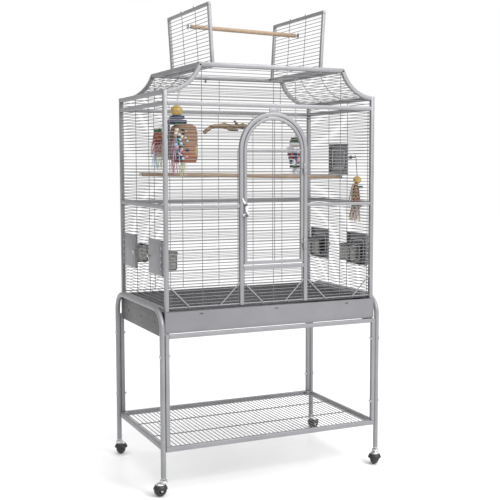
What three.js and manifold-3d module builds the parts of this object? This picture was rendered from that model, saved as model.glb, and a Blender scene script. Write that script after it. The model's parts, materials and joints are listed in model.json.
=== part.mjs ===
// Play-top bird cage on a rolling stand.
// Millimetres, +Z up, front towards -Y, origin on the floor under the middle of the cage.
import * as THREE from 'three';
import { mergeVertices } from 'three/addons/utils/BufferGeometryUtils.js';
import Module from 'manifold-3d';

const wasm = await Module();
wasm.setup();

// ---- driving dimensions ----
const GAP = 0.3; // clearance kept between touching pieces
const POST = 15; // square tube of the cage
const THIN = 12; // square tube of the door and the flaps
const BAR = 3.7; // one bar has the steel of three 2.4 mm wires
const BAR_PITCH = 36; // three times the wire pitch
const SINK = 2; // how far a bar runs into the tube it is welded to
const INSET = 0.2; // keeps joined faces from lying in one plane

const HALF_W = 420; // post centres, X
const HALF_D = 261.5; // post centres, Y
const INNER_X = HALF_W - POST / 2 - GAP;
const INNER_Y = HALF_D - POST / 2 - GAP;

const Z_POST_FOOT = 582;
const Z_TRAY_FLOOR = 588;
const Z_TRAY_RIM = 646;
const Z_APRON_TOP = 661;
const Z_WALL_FOOT = 664; // centre of the wall's lowest rail
const Z_MID_RAIL = 1032;
const Z_HIGH_RAIL = 1396;
const Z_EAVES = 1434.5; // centre of the eaves rail
const Z_RING = 1535; // centre of the roof ring

const SHOULDER_R = 146; // concave roof shoulder, centre line
const SHOULDER_TURN = THREE.MathUtils.degToRad(73.6);
const SHOULDER_X = HALF_W + POST / 2; // the shoulder arc starts level here
const RING_HALF = SHOULDER_X - SHOULDER_R * Math.sin(SHOULDER_TURN);

const FLAP_X = 220; // flap hinge line
const FLAP_HALF_D = 212.5;
const Z_FLAP_AXIS = 1536;
const Z_FLAP_TOP = 1756; // before the flap leans
const FLAP_LEAN = THREE.MathUtils.degToRad(3.5); // outward, as the flap stands open
const CROSS_RAIL_X = 236; // rail beside the flap hinge
const STRIP_RAIL_Y = 229;

const STILE_X = 131; // fixed frame of the door
const DOOR_X = 115.5; // the door's own tubes
const Z_SPRING = 1234; // where the arches start
const Z_SILL = 804;
const Z_DOOR_FOOT = 823;
const DOOR_Y = -HALF_D - POST / 2 + THIN / 2; // the door lies flush with the front
const HINGE_X = 122.5;
const HINGE_Y = -HALF_D - POST / 2 - 5;

const FEEDER_Y = 155; // middle of a feeder opening
const FEEDER_HALF = 75; // outside half width of a feeder frame
const Z_FEEDER = 848;
const FEEDER_HALF_H = 64;
const FEEDER_BAR = 5;
const Z_HATCH = 1204; // middle of the small upper door
const HATCH_HALF_H = 62;

const LEG_R = 9.5;
const LEG_X = 442;
const LEG_Y = 274;
const LEG_BEND = 70;
const Z_LEG_FOOT = 65;
const Z_LEG_TOP = 667;
const UPRIGHT_X = LEG_X - LEG_R - POST / 2 - GAP;
const Z_STAND_RAIL = 574;
const Z_SHELF = 167;
const SHELF_TUBE = 18;
const SHELF_PITCH = 34;

const WHEEL_R = 24;
const WHEEL_W = 30; // a broad, ball-shaped wheel
const TRAIL = 12;

const PERCH_R = 8;
const Z_TOP_PERCH = { left: 1701, right: 1692 };
const PERCH_CLEAR = THIN / 2 + 1.5; // from the flap's plane to the end of the top perch

// ---- solids ----
function toManifold(geometry) {
  const bare = geometry.clone();
  bare.deleteAttribute('normal');
  bare.deleteAttribute('uv');
  const merged = mergeVertices(bare, 1e-4);
  return new wasm.Manifold(new wasm.Mesh({
    numProp: 3,
    vertProperties: new Float32Array(merged.attributes.position.array),
    triVerts: new Uint32Array(merged.index.array),
  }));
}

function toGeometry(solid) {
  const mesh = solid.getMesh();
  const geometry = new THREE.BufferGeometry();
  geometry.setAttribute('position', new THREE.BufferAttribute(new Float32Array(mesh.vertProperties), 3));
  geometry.setIndex(Array.from(mesh.triVerts));
  geometry.computeVertexNormals();
  return geometry;
}

function join(parts) {
  return toGeometry(parts.map(toManifold).reduce((sum, next) => sum.add(next)));
}

function cut(body, tools) {
  return toGeometry(tools.map(toManifold).reduce((rest, tool) => rest.subtract(tool), toManifold(body)));
}

function boxFrom(low, high) {
  const size = high.map((value, i) => value - low[i]);
  const middle = high.map((value, i) => (value + low[i]) / 2);
  return new THREE.BoxGeometry(...size).translate(...middle);
}

// A round bar from one point to another.
function rod(from, to, radius, sides = 10) {
  const start = new THREE.Vector3(...from);
  const end = new THREE.Vector3(...to);
  const along = end.clone().sub(start);
  const turn = new THREE.Quaternion().setFromUnitVectors(new THREE.Vector3(0, 1, 0), along.clone().normalize());
  const bar = new THREE.CylinderGeometry(radius, radius, along.length(), sides);
  bar.applyQuaternion(turn);
  const middle = start.add(end).multiplyScalar(0.5);
  return bar.translate(middle.x, middle.y, middle.z);
}

function polygonSection(radius, sides, phase = 0) {
  const section = new THREE.Shape();
  for (let i = 0; i < sides; i += 1) {
    const angle = phase + (2 * Math.PI * i) / sides;
    const x = radius * Math.cos(angle);
    const y = radius * Math.sin(angle);
    if (i === 0) section.moveTo(x, y);
    else section.lineTo(x, y);
  }
  section.closePath();
  return section;
}

function squareSection(size) {
  return polygonSection(size / Math.SQRT2, 4, Math.PI / 4);
}

function sweep(section, curve, steps) {
  return new THREE.ExtrudeGeometry(section, { extrudePath: curve, steps, bevelEnabled: false });
}

function mirrorX(geometry) {
  const copy = geometry.clone().applyMatrix4(new THREE.Matrix4().makeScale(-1, 1, 1));
  return flipFaces(copy);
}

function flipFaces(geometry) {
  if (geometry.index) {
    const index = geometry.index.array;
    for (let i = 0; i < index.length; i += 3) [index[i], index[i + 1]] = [index[i + 1], index[i]];
    return geometry;
  }
  const position = geometry.attributes.position;
  const flipped = [];
  for (let i = 0; i < position.count; i += 3) {
    for (const k of [i, i + 2, i + 1]) flipped.push(position.getX(k), position.getY(k), position.getZ(k));
  }
  const result = new THREE.BufferGeometry();
  result.setAttribute('position', new THREE.Float32BufferAttribute(flipped, 3));
  return result;
}

// A shape drawn in X and Z, made into a plate between two Y values.
function plateXZ(shape, yLow, yHigh, curveSegments = 12) {
  const plate = new THREE.ExtrudeGeometry(shape, { depth: yHigh - yLow, bevelEnabled: false, curveSegments });
  plate.rotateX(Math.PI / 2);
  return plate.translate(0, yHigh, 0);
}

function levels(low, high, pitch) {
  const count = Math.floor((high - low) / pitch);
  const first = (low + high - count * pitch) / 2;
  return Array.from({ length: count + 1 }, (_, i) => first + i * pitch);
}

// Bars along X in the plane of the front or the back.
function barsX(xLow, xHigh, y, heights) {
  const half = BAR / 2;
  return heights.map((z) => boxFrom([xLow, y - half, z - half], [xHigh, y + half, z + half]));
}

// Bars along Y in the plane of a side wall.
function barsY(x, yLow, yHigh, heights) {
  const half = BAR / 2;
  return heights.map((z) => boxFrom([x - half, yLow, z - half], [x + half, yHigh, z + half]));
}

function tubeX(xLow, xHigh, y, z, size = POST) {
  return boxFrom([xLow, y - size / 2, z - size / 2], [xHigh, y + size / 2, z + size / 2]);
}

function tubeY(x, yLow, yHigh, z, size = POST) {
  return boxFrom([x - size / 2, yLow, z - size / 2], [x + size / 2, yHigh, z + size / 2]);
}

function tubeZ(x, y, zLow, zHigh, size = POST) {
  return boxFrom([x - size / 2, y - size / 2, zLow], [x + size / 2, y + size / 2, zHigh]);
}

// ---- materials ----
const coat = { color: 0xb4b5ba, roughness: 0.55, metalness: 0.2 };
const steel = { color: 0xc9cbce, roughness: 0.25, metalness: 0.9 };
const wood = { color: 0xb39a7c, roughness: 0.7, metalness: 0 };
const bark = { color: 0x75614a, roughness: 0.85, metalness: 0 };
const rubber = { color: 0x1b1b1d, roughness: 0.6, metalness: 0 };
const woven = { color: 0x9a6a45, roughness: 0.85, metalness: 0 };
const painted = { color: 0x4a4f63, roughness: 0.6, metalness: 0 };

const cage = new THREE.Group();

function add(name, geometry, finish = coat, parent = cage) {
  const mesh = new THREE.Mesh(geometry, new THREE.MeshStandardMaterial(finish));
  mesh.name = name;
  parent.add(mesh);
  return mesh;
}

// ---- stand ----
class SideFramePath extends THREE.Curve {
  constructor() {
    super();
    const straight = LEG_Y - LEG_BEND;
    const bendZ = Z_LEG_TOP - LEG_BEND;
    this.parts = [
      { length: bendZ - Z_LEG_FOOT, at: (s) => [-LEG_Y, Z_LEG_FOOT + s] },
      { length: (LEG_BEND * Math.PI) / 2, at: (s) => this.bend(-straight, bendZ, Math.PI - s / LEG_BEND) },
      { length: 2 * straight, at: (s) => [-straight + s, Z_LEG_TOP] },
      { length: (LEG_BEND * Math.PI) / 2, at: (s) => this.bend(straight, bendZ, Math.PI / 2 - s / LEG_BEND) },
      { length: bendZ - Z_LEG_FOOT, at: (s) => [LEG_Y, bendZ - s] },
    ];
    this.total = this.parts.reduce((sum, part) => sum + part.length, 0);
  }

  bend(y, z, angle) {
    return [y + LEG_BEND * Math.cos(angle), z + LEG_BEND * Math.sin(angle)];
  }

  // The straight runs take one step each and the bends take BEND_STEPS.
  getPoint(t, target = new THREE.Vector3()) {
    const scaled = Math.min(t * SideFramePath.STEPS, SideFramePath.STEPS);
    const bendSteps = SideFramePath.BEND_STEPS;
    const stops = [0, 1, 1 + bendSteps, 2 + bendSteps, 2 + 2 * bendSteps, 3 + 2 * bendSteps];
    let part = 0;
    while (part < 4 && scaled > stops[part + 1]) part += 1;
    const share = (scaled - stops[part]) / (stops[part + 1] - stops[part]);
    const [y, z] = this.parts[part].at(share * this.parts[part].length);
    return target.set(0, y, z);
  }

  getPointAt(t, target) {
    return this.getPoint(t, target);
  }

  getTangentAt(t, target = new THREE.Vector3()) {
    const step = 1e-5;
    const before = this.getPoint(Math.max(0, t - step));
    const after = this.getPoint(Math.min(1, t + step));
    return target.copy(after.sub(before).normalize());
  }
}
SideFramePath.BEND_STEPS = 6;
SideFramePath.STEPS = 3 + 2 * SideFramePath.BEND_STEPS;

function sideFrame() {
  return sweep(polygonSection(LEG_R, 12), new SideFramePath(), SideFramePath.STEPS);
}

for (const [side, x] of [['left', -LEG_X], ['right', LEG_X]]) {
  add(`stand_side_frame_${side}`, sideFrame()).position.x = x;
}

// Uprights beside the legs and the rail that carries the cage.
function endFrame(y) {
  const foot = Z_SHELF + SHELF_TUBE / 2 + GAP;
  const head = Z_STAND_RAIL + POST / 2;
  return join([
    tubeZ(-UPRIGHT_X, y, foot, head),
    tubeZ(UPRIGHT_X, y, foot, head),
    tubeX(-UPRIGHT_X, UPRIGHT_X, y, Z_STAND_RAIL),
  ]);
}

for (const [side, y] of [['front', -LEG_Y], ['back', LEG_Y]]) add(`stand_${side}_frame`, endFrame(y));

function storageShelf() {
  const reach = LEG_X - LEG_R - GAP;
  const railY = LEG_Y;
  const sideX = LEG_X - SHELF_TUBE / 2;
  const sideEnd = LEG_Y - LEG_R - GAP;
  const cornerInner = sideEnd - POST;
  const cornerOuter = LEG_Y - 2;
  const parts = [];
  for (const sign of [-1, 1]) {
    parts.push(boxFrom(
      [-reach, sign * railY - POST / 2, Z_SHELF - SHELF_TUBE / 2],
      [reach, sign * railY + POST / 2, Z_SHELF + SHELF_TUBE / 2],
    ));
    parts.push(boxFrom(
      [sign * sideX - POST / 2, -sideEnd, Z_SHELF - SHELF_TUBE / 2],
      [sign * sideX + POST / 2, sideEnd, Z_SHELF + SHELF_TUBE / 2],
    ));
    for (const end of [-1, 1]) {
      const inner = sign * (reach - POST);
      const outer = sign * reach;
      parts.push(boxFrom(
        [Math.min(inner, outer), Math.min(end * cornerInner, end * cornerOuter), Z_SHELF - SHELF_TUBE / 2 + 1],
        [Math.max(inner, outer), Math.max(end * cornerInner, end * cornerOuter), Z_SHELF + SHELF_TUBE / 2 - 1],
      ));
    }
  }
  const half = BAR / 2;
  for (const x of levels(-400, 400, SHELF_PITCH)) {
    const end = railY - POST / 2 + SINK;
    parts.push(boxFrom([x - half, -end, Z_SHELF - half], [x + half, end, Z_SHELF + half]));
  }
  return join(parts);
}
add('storage_shelf', storageShelf());

// ---- casters ----
// A hood over a ball-shaped wheel, drawn trailing towards -X from its swivel.
function casterFork() {
  const hoodR = WHEEL_R + 3;
  const sheet = 2;
  const lipZ = 5; // the hood ends this far above the axle
  const start = Math.asin(lipZ / hoodR);
  const arc = (radius, from, to) => Array.from({ length: 7 }, (_, i) => {
    const angle = from + ((to - from) * i) / 6;
    return [Math.max(radius * Math.cos(angle), 0), radius * Math.sin(angle)];
  });
  const profile = [...arc(hoodR, start, Math.PI / 2), ...arc(hoodR - sheet, Math.PI / 2, start)];
  profile.push(profile[0]);
  const dome = new THREE.LatheGeometry(profile.map(([r, z]) => new THREE.Vector2(r, z)), 20);
  dome.rotateX(Math.PI / 2).translate(-TRAIL, 0, WHEEL_R);
  const cheekY = WHEEL_W / 2 + 1.5;
  const cheekTop = WHEEL_R + 0.62 * hoodR;
  const cheek = (sign) => boxFrom(
    [-TRAIL - 6, Math.min(sign * cheekY, sign * (cheekY + sheet)), WHEEL_R - 7],
    [-TRAIL + 6, Math.max(sign * cheekY, sign * (cheekY + sheet)), cheekTop],
  );
  const neckLow = WHEEL_R + hoodR - 2;
  return join([
    dome,
    cheek(-1),
    cheek(1),
    rod([0, 0, neckLow], [0, 0, Z_LEG_FOOT - GAP], LEG_R - 1, 16),
    boxFrom([hoodR - TRAIL - 1.5, -7, WHEEL_R + lipZ + 2], [hoodR - TRAIL + 2, 7, neckLow + 5]),
    boxFrom([0, -7, neckLow], [hoodR - TRAIL + 2, 7, neckLow + 5]),
    rod([-TRAIL, -cheekY - sheet - 1, WHEEL_R], [-TRAIL, cheekY + sheet + 1, WHEEL_R], 3, 8),
  ]);
}

function casterWheel() {
  const bore = 3.4;
  const half = WHEEL_W / 2;
  const profile = [
    [bore, -half], [WHEEL_R - 8, -half], [WHEEL_R - 2.5, -half / 2], [WHEEL_R, -2], [WHEEL_R, 2],
    [WHEEL_R - 2.5, half / 2], [WHEEL_R - 8, half], [bore, half], [bore, -half],
  ];
  return new THREE.LatheGeometry(profile.map(([r, y]) => new THREE.Vector2(r, y)), 24);
}

const casters = [
  ['front_left', -LEG_X, -LEG_Y, 0],
  ['front_right', LEG_X, -LEG_Y, Math.PI / 4],
  ['back_right', LEG_X, LEG_Y, Math.PI],
  ['back_left', -LEG_X, LEG_Y, Math.PI / 4 + Math.PI],
];
for (const [corner, x, y, yaw] of casters) {
  const swivel = new THREE.Group();
  swivel.position.set(x, y, 0);
  swivel.rotation.z = yaw;
  cage.add(swivel);
  add(`caster_fork_${corner}`, casterFork(), steel, swivel);
  add(`caster_wheel_${corner}`, casterWheel(), rubber, swivel).position.set(-TRAIL, 0, WHEEL_R);
}

// ---- base: runners, tray and floor grate ----
function trayRunner(sign) {
  const outside = UPRIGHT_X + POST / 2;
  const reach = LEG_Y - POST / 2 - GAP;
  const ledgeReach = INNER_Y - 2;
  const sheet = 2;
  const shelfTop = Z_TRAY_FLOOR - 2 * GAP - 1;
  const wall = [sign * (outside - sheet), sign * outside].sort((a, b) => a - b);
  const ledge = [sign * (outside - 32), sign * outside].sort((a, b) => a - b);
  return join([
    boxFrom([wall[0], -reach, Z_STAND_RAIL - POST / 2], [wall[1], reach, Z_WALL_FOOT - POST / 2 - GAP]),
    boxFrom([ledge[0], -ledgeReach, shelfTop - sheet], [ledge[1], ledgeReach, shelfTop]),
  ]);
}

const cornerNotch = POST + 2 * GAP;
function notchedRunner(sign) {
  const postCuts = [-1, 1].map((end) => boxFrom(
    [sign * HALF_W - cornerNotch / 2, end * HALF_D - cornerNotch / 2, Z_POST_FOOT - GAP],
    [sign * HALF_W + cornerNotch / 2, end * HALF_D + cornerNotch / 2, Z_WALL_FOOT + POST],
  ));
  return cut(trayRunner(sign), postCuts);
}
add('tray_runner_left', notchedRunner(-1));
add('tray_runner_right', notchedRunner(1));

function backSkirt() {
  const reach = INNER_X - GAP;
  const y = HALF_D + POST / 2 - 4;
  return join([
    boxFrom([-reach, y - 2, Z_POST_FOOT], [reach, y, Z_WALL_FOOT - 4]),
    boxFrom([-reach, y - 10, Z_WALL_FOOT - 4], [reach, y, Z_WALL_FOOT - 2]),
  ]);
}
add('back_skirt', backSkirt());

const APRON_HALF = 429;
const APRON_FRONT = -HALF_D - POST / 2 - 4;
const PAN_HALF_X = 404;
const PAN_HALF_Y = 252;
function tray() {
  const sheet = 2;
  const floor = Z_TRAY_FLOOR;
  const apronBack = APRON_FRONT + sheet;
  return join([
    boxFrom([-PAN_HALF_X, -PAN_HALF_Y, floor], [PAN_HALF_X, PAN_HALF_Y, floor + sheet]),
    boxFrom([-PAN_HALF_X, -PAN_HALF_Y, floor], [-PAN_HALF_X + sheet, PAN_HALF_Y, Z_TRAY_RIM]),
    boxFrom([PAN_HALF_X - sheet, -PAN_HALF_Y, floor], [PAN_HALF_X, PAN_HALF_Y, Z_TRAY_RIM]),
    boxFrom([-PAN_HALF_X, PAN_HALF_Y - sheet, floor], [PAN_HALF_X, PAN_HALF_Y, Z_TRAY_RIM]),
    boxFrom([-PAN_HALF_X, -PAN_HALF_Y, floor], [PAN_HALF_X, -PAN_HALF_Y + sheet, Z_TRAY_RIM]),
    boxFrom([-PAN_HALF_X + 4, apronBack - 1, Z_TRAY_RIM - 12], [PAN_HALF_X - 4, -PAN_HALF_Y + 1, Z_TRAY_RIM - 10]),
    boxFrom([-APRON_HALF, APRON_FRONT, Z_TRAY_FLOOR - 3], [APRON_HALF, apronBack, Z_APRON_TOP]),
    boxFrom([-APRON_HALF, APRON_FRONT, Z_APRON_TOP - sheet], [APRON_HALF, apronBack + 1.5, Z_APRON_TOP]),
  ]);
}
add('tray', tray());

const GRATE_Z = Z_APRON_TOP + 4.5; // the grate passes over the tray's front
const GRATE_RIM = 5;
function floorGrate() {
  const rim = GRATE_RIM;
  const halfX = PAN_HALF_X - 2;
  const halfY = PAN_HALF_Y - 1;
  const parts = [];
  for (const sign of [-1, 1]) {
    parts.push(tubeX(-halfX, halfX, sign * halfY, GRATE_Z, rim));
    parts.push(tubeY(sign * halfX, -halfY, halfY, GRATE_Z, rim));
  }
  const half = BAR / 2;
  for (const x of levels(-halfX + 20, halfX - 20, BAR_PITCH)) {
    parts.push(boxFrom([x - half, -halfY, GRATE_Z - half], [x + half, halfY, GRATE_Z + half]));
  }
  return join(parts);
}
add('floor_grate', floorGrate());

// An angle inside each side wall that carries the grate's rim.
function grateRail(sign) {
  const sheet = 2;
  const reach = INNER_Y - 1;
  const top = GRATE_Z - GRATE_RIM / 2 - GAP;
  const [ledgeLow, ledgeHigh] = [sign * INNER_X, sign * (PAN_HALF_X - 7)].sort((a, b) => a - b);
  const [flangeLow, flangeHigh] = [sign * INNER_X, sign * (INNER_X - sheet)].sort((a, b) => a - b);
  return join([
    boxFrom([ledgeLow, -reach, top - sheet], [ledgeHigh, reach, top]),
    boxFrom([flangeLow, -reach + INSET, top - 5], [flangeHigh, reach - INSET, top - sheet / 2]),
  ]);
}
add('grate_rail_left', grateRail(-1));
add('grate_rail_right', grateRail(1));

// ---- front and back ----
const PANEL_LOW = Z_WALL_FOOT + 12;
const PANEL_HIGH = Z_HIGH_RAIL - POST / 2 - GAP;
const barHeights = levels(PANEL_LOW + 14, PANEL_HIGH - 8, BAR_PITCH);

function clearOf(heights, z, halfHeight) {
  return heights.filter((height) => Math.abs(height - z) > halfHeight + BAR);
}

// Outside edge of the door's fixed frame at a height.
function stileEdge(z) {
  const outside = STILE_X + POST / 2 + GAP;
  if (z <= Z_SPRING) return outside;
  const rise = Math.max(z - Z_SPRING - BAR / 2, 0);
  return rise < outside ? Math.max(Math.sqrt(outside * outside - rise * rise), 24) : 24;
}

function frontGrille(sign) {
  const y = -HALF_D;
  const edge = STILE_X + POST / 2 + GAP;
  const endBar = sign * (edge + 2);
  const parts = [
    tubeZ(sign * HALF_W, y, Z_POST_FOOT, Z_EAVES + POST / 2),
    tubeZ(endBar, y, PANEL_LOW - 4, Z_SPRING, 4),
  ];
  const spanTo = (z) => [sign * (HALF_W - 5), sign * (stileEdge(z) + (z > Z_SPRING ? GAP : 2))].sort((a, b) => a - b);
  const foot = spanTo(0);
  parts.push(boxFrom([foot[0], y - 4, PANEL_LOW - 4], [foot[1], y + 4, PANEL_LOW + 4]));
  parts.push(tubeX(foot[0], foot[1], y, Z_MID_RAIL, THIN));
  for (const z of clearOf(barHeights, Z_MID_RAIL, THIN / 2)) {
    const [low, high] = spanTo(z);
    parts.push(...barsX(low, high, y, [z]));
  }
  return join(parts);
}
add('front_grille_left', frontGrille(-1));
add('front_grille_right', frontGrille(1));

function archShape(outside, inside, footZ) {
  const shape = new THREE.Shape();
  shape.moveTo(outside, footZ);
  shape.absarc(0, Z_SPRING, outside, 0, Math.PI, false);
  shape.lineTo(-outside, footZ);
  shape.lineTo(-inside, footZ);
  shape.absarc(0, Z_SPRING, inside, Math.PI, 0, true);
  shape.lineTo(inside, footZ);
  shape.closePath();
  return shape;
}

function doorFrame() {
  const y = -HALF_D;
  const half = POST / 2;
  const low = Z_SPRING + STILE_X + half - 3;
  const top = Z_HIGH_RAIL - half - GAP;
  return join([
    plateXZ(archShape(STILE_X + half, STILE_X - half, PANEL_LOW - 6), y - half, y + half, 16),
    tubeX(-STILE_X, STILE_X, y, Z_SILL, POST - 2 * INSET),
    boxFrom([-20, y - half + INSET, low], [20, y - half + 3, top]),
  ]);
}
add('door_frame', doorFrame());

function lowerGrille() {
  const reach = STILE_X - POST / 2 - GAP;
  const y = -HALF_D;
  const high = Z_SILL - POST / 2 - GAP;
  const parts = [-1, 1].map((sign) => tubeZ(sign * (reach - 2), y, PANEL_LOW - 4, high, 4));
  parts.push(boxFrom([-reach + 2, y - 4, PANEL_LOW - 4], [reach - 2, y + 4, PANEL_LOW + 4]));
  parts.push(...barsX(-reach + 2, reach - 2, y, barHeights.filter((z) => z < high - 4)));
  return join(parts);
}
add('front_grille_lower', lowerGrille());

// Centre line of a roof shoulder, from the eaves up to the ring.
class Shoulder extends THREE.Curve {
  constructor(from = 0, to = 1) {
    super();
    this.from = from;
    this.to = to;
  }

  getPoint(t, target = new THREE.Vector3()) {
    const angle = SHOULDER_TURN * (this.from + (this.to - this.from) * t);
    const x = SHOULDER_X - SHOULDER_R * Math.sin(angle);
    const z = Z_EAVES + SHOULDER_R * (1 - Math.cos(angle));
    return target.set(x, 0, z);
  }
}

function shoulderX(z) {
  const angle = Math.acos(1 - (z - Z_EAVES) / SHOULDER_R);
  return SHOULDER_X - SHOULDER_R * Math.sin(angle);
}

function gable(y) {
  const start = Math.asin((SHOULDER_X - INNER_X) / SHOULDER_R) / SHOULDER_TURN;
  const arc = sweep(squareSection(POST), new Shoulder(start + 0.004, 1), 8).translate(0, y, 0);
  const parts = [
    arc,
    mirrorX(arc),
    tubeX(-INNER_X, INNER_X, y, Z_HIGH_RAIL),
    tubeX(-RING_HALF - POST / 2 + 2, RING_HALF + POST / 2 - 2, y, Z_RING),
  ];
  for (const x of [-277, 0, 277]) parts.push(tubeZ(x, y, Z_HIGH_RAIL, Z_RING, 4));
  for (const z of levels(Z_HIGH_RAIL + 20, Z_RING - 16, BAR_PITCH)) {
    const reach = z > Z_EAVES + POST ? shoulderX(z) : RING_HALF + 4;
    parts.push(...barsX(-reach, reach, y, [z]));
  }
  return join(parts);
}
add('front_gable', gable(-HALF_D));
add('back_gable', gable(HALF_D));

function backGrille() {
  const y = HALF_D;
  const parts = [-1, 1].map((sign) => tubeZ(sign * HALF_W, y, Z_POST_FOOT, Z_EAVES + POST / 2));
  parts.push(tubeX(-HALF_W, HALF_W, y, Z_MID_RAIL));
  parts.push(boxFrom([-HALF_W, y - 4, PANEL_LOW - 4], [HALF_W, y + 4, PANEL_LOW + 4]));
  parts.push(...barsX(-HALF_W + 5, HALF_W - 5, y, clearOf(barHeights, Z_MID_RAIL, POST / 2)));
  return join(parts);
}
add('back_grille', backGrille());

// ---- side walls with their feeder openings ----
function feederFrame(x, y, z, half, halfHeight) {
  const depth = 8;
  const b = FEEDER_BAR;
  const low = z - halfHeight;
  const high = z + halfHeight;
  return [
    boxFrom([x - depth / 2, y - half, low], [x + depth / 2, y + half, low + b]),
    boxFrom([x - depth / 2, y - half, high - b], [x + depth / 2, y + half, high]),
    boxFrom([x - depth / 2, y - half, low], [x + depth / 2, y - half + b, high]),
    boxFrom([x - depth / 2, y + half - b, low], [x + depth / 2, y + half, high]),
  ];
}

function sideWall(sign, openings) {
  const x = sign * HALF_W;
  const end = INNER_Y - 2;
  const parts = [Z_WALL_FOOT, Z_MID_RAIL, Z_HIGH_RAIL, Z_EAVES].map((z) => tubeY(x, -INNER_Y, INNER_Y, z));
  for (const y of [-end, end]) parts.push(tubeZ(x, y, Z_WALL_FOOT, Z_EAVES, 4));
  for (const { y, z, halfHeight } of openings) parts.push(...feederFrame(x, y, z, FEEDER_HALF, halfHeight));
  const heights = levels(Z_WALL_FOOT + 22, Z_EAVES - 20, BAR_PITCH);
  const free = clearOf(clearOf(heights, Z_MID_RAIL, POST / 2), Z_HIGH_RAIL, POST / 2);
  for (const z of free) {
    const crossed = openings
      .filter((o) => Math.abs(z - o.z) < o.halfHeight + BAR)
      .sort((a, b) => a.y - b.y);
    if (crossed.some((o) => Math.abs(z - o.z) > o.halfHeight - FEEDER_BAR - BAR)) continue;
    let from = -end;
    for (const o of crossed) {
      parts.push(...barsY(x, from, o.y - FEEDER_HALF + SINK, [z]));
      from = o.y + FEEDER_HALF - SINK;
    }
    parts.push(...barsY(x, from, end, [z]));
  }
  return join(parts);
}

const bowlOpenings = [-FEEDER_Y, FEEDER_Y].map((y) => ({ y, z: Z_FEEDER, halfHeight: FEEDER_HALF_H }));
const hatchOpening = { y: 0, z: Z_HATCH, halfHeight: HATCH_HALF_H };
add('side_wall_left', sideWall(-1, bowlOpenings));
add('side_wall_right', sideWall(1, [...bowlOpenings, hatchOpening]));

// ---- feeder doors, drawn for the left wall with the hinge towards -Y ----
const DOOR_SKIN_X = HALF_W + 4 + GAP; // inner face of a feeder door's sheet
const SKIN = 2;
const HINGE_INSET = 3; // hinge line inside the frame's outer edge
const CUP = { long: 98, deep: 60, high: 66, fromHinge: 14, wall: 1.2, inset: 8 };
const Z_CUP_RIM = Z_FEEDER + 20;

function roundedRect(long, deep, radius) {
  const s = new THREE.Shape();
  s.moveTo(radius, 0);
  s.lineTo(long - radius, 0);
  s.absarc(long - radius, radius, radius, -Math.PI / 2, 0, false);
  s.lineTo(long, deep - radius);
  s.absarc(long - radius, deep - radius, radius, 0, Math.PI / 2, false);
  s.lineTo(radius, deep);
  s.absarc(radius, deep - radius, radius, Math.PI / 2, Math.PI, false);
  s.lineTo(0, radius);
  s.absarc(radius, radius, radius, Math.PI, 1.5 * Math.PI, false);
  return s;
}

function prism(shape, zLow, zHigh, shiftX = 0, shiftY = 0) {
  const solid = new THREE.ExtrudeGeometry(shape, { depth: zHigh - zLow, bevelEnabled: false, curveSegments: 3 });
  return solid.translate(shiftX, shiftY, zLow);
}

// In the cup's own frame, X runs away from the hinge and Y into the cage.
function cup() {
  const { long, deep, high, wall } = CUP;
  const rim = 3;
  const outside = join([
    prism(roundedRect(long, deep, 16), Z_CUP_RIM - high, Z_CUP_RIM),
    prism(roundedRect(long + 2 * rim, deep + 2 * rim, 18), Z_CUP_RIM - 2, Z_CUP_RIM, -rim, -rim),
  ]);
  const hollow = prism(
    roundedRect(long - 2 * wall, deep - 2 * wall, 15), Z_CUP_RIM - high + wall, Z_CUP_RIM + 1, wall, wall,
  );
  return cut(outside, [hollow]);
}

function cupRing() {
  const { long, deep, inset } = CUP;
  const slack = 1;
  const band = 3;
  const top = Z_CUP_RIM - 2 - GAP;
  const outer = roundedRect(long + 2 * (slack + band), deep + 2 * (slack + band), 20);
  const inner = roundedRect(long + 2 * slack, deep + 2 * slack, 17);
  const ring = cut(
    prism(outer, top - 4, top, -slack - band, -slack - band),
    [prism(inner, top - 5, top + 1, -slack, -slack)],
  );
  return [
    ring,
    boxFrom([12, -inset - 1, top - 4], [16, -slack - 1, top]),
    boxFrom([long - 16, -inset - 1, top - 4], [long - 12, -slack - 1, top]),
  ];
}

function feederLeaf(width, halfHeight, z, withRing) {
  const cupShift = CUP.fromHinge;
  const parts = [
    boxFrom([1, -CUP.inset - SKIN, z - halfHeight + 1], [width, -CUP.inset, z + halfHeight - 1]),
    boxFrom([width - 10, -CUP.inset - SKIN - 6, z - 12], [width - 6, -CUP.inset - SKIN + 1, z + 12]),
  ];
  const lean = -CUP.inset - SKIN - 1;
  parts.push(rod([0, lean, z - halfHeight + 6], [0, lean, z + halfHeight - 6], 2.5, 10));
  if (withRing) parts.push(...cupRing().map((part) => part.clone().translate(cupShift, 0, 0)));
  return join(parts);
}

// Turns a leaf drawn along +X from its hinge into place on a wall.
function placeOnWall(geometry, sign, hingeY, direction) {
  const placed = geometry.clone();
  placed.translate(0, CUP.inset, 0);
  const toWall = new THREE.Matrix4().set(
    0, -sign, 0, sign * DOOR_SKIN_X,
    direction, 0, 0, hingeY,
    0, 0, 1, 0,
    0, 0, 0, 1,
  );
  placed.applyMatrix4(toWall);
  return toWall.determinant() < 0 ? flipFaces(placed) : placed;
}

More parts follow.
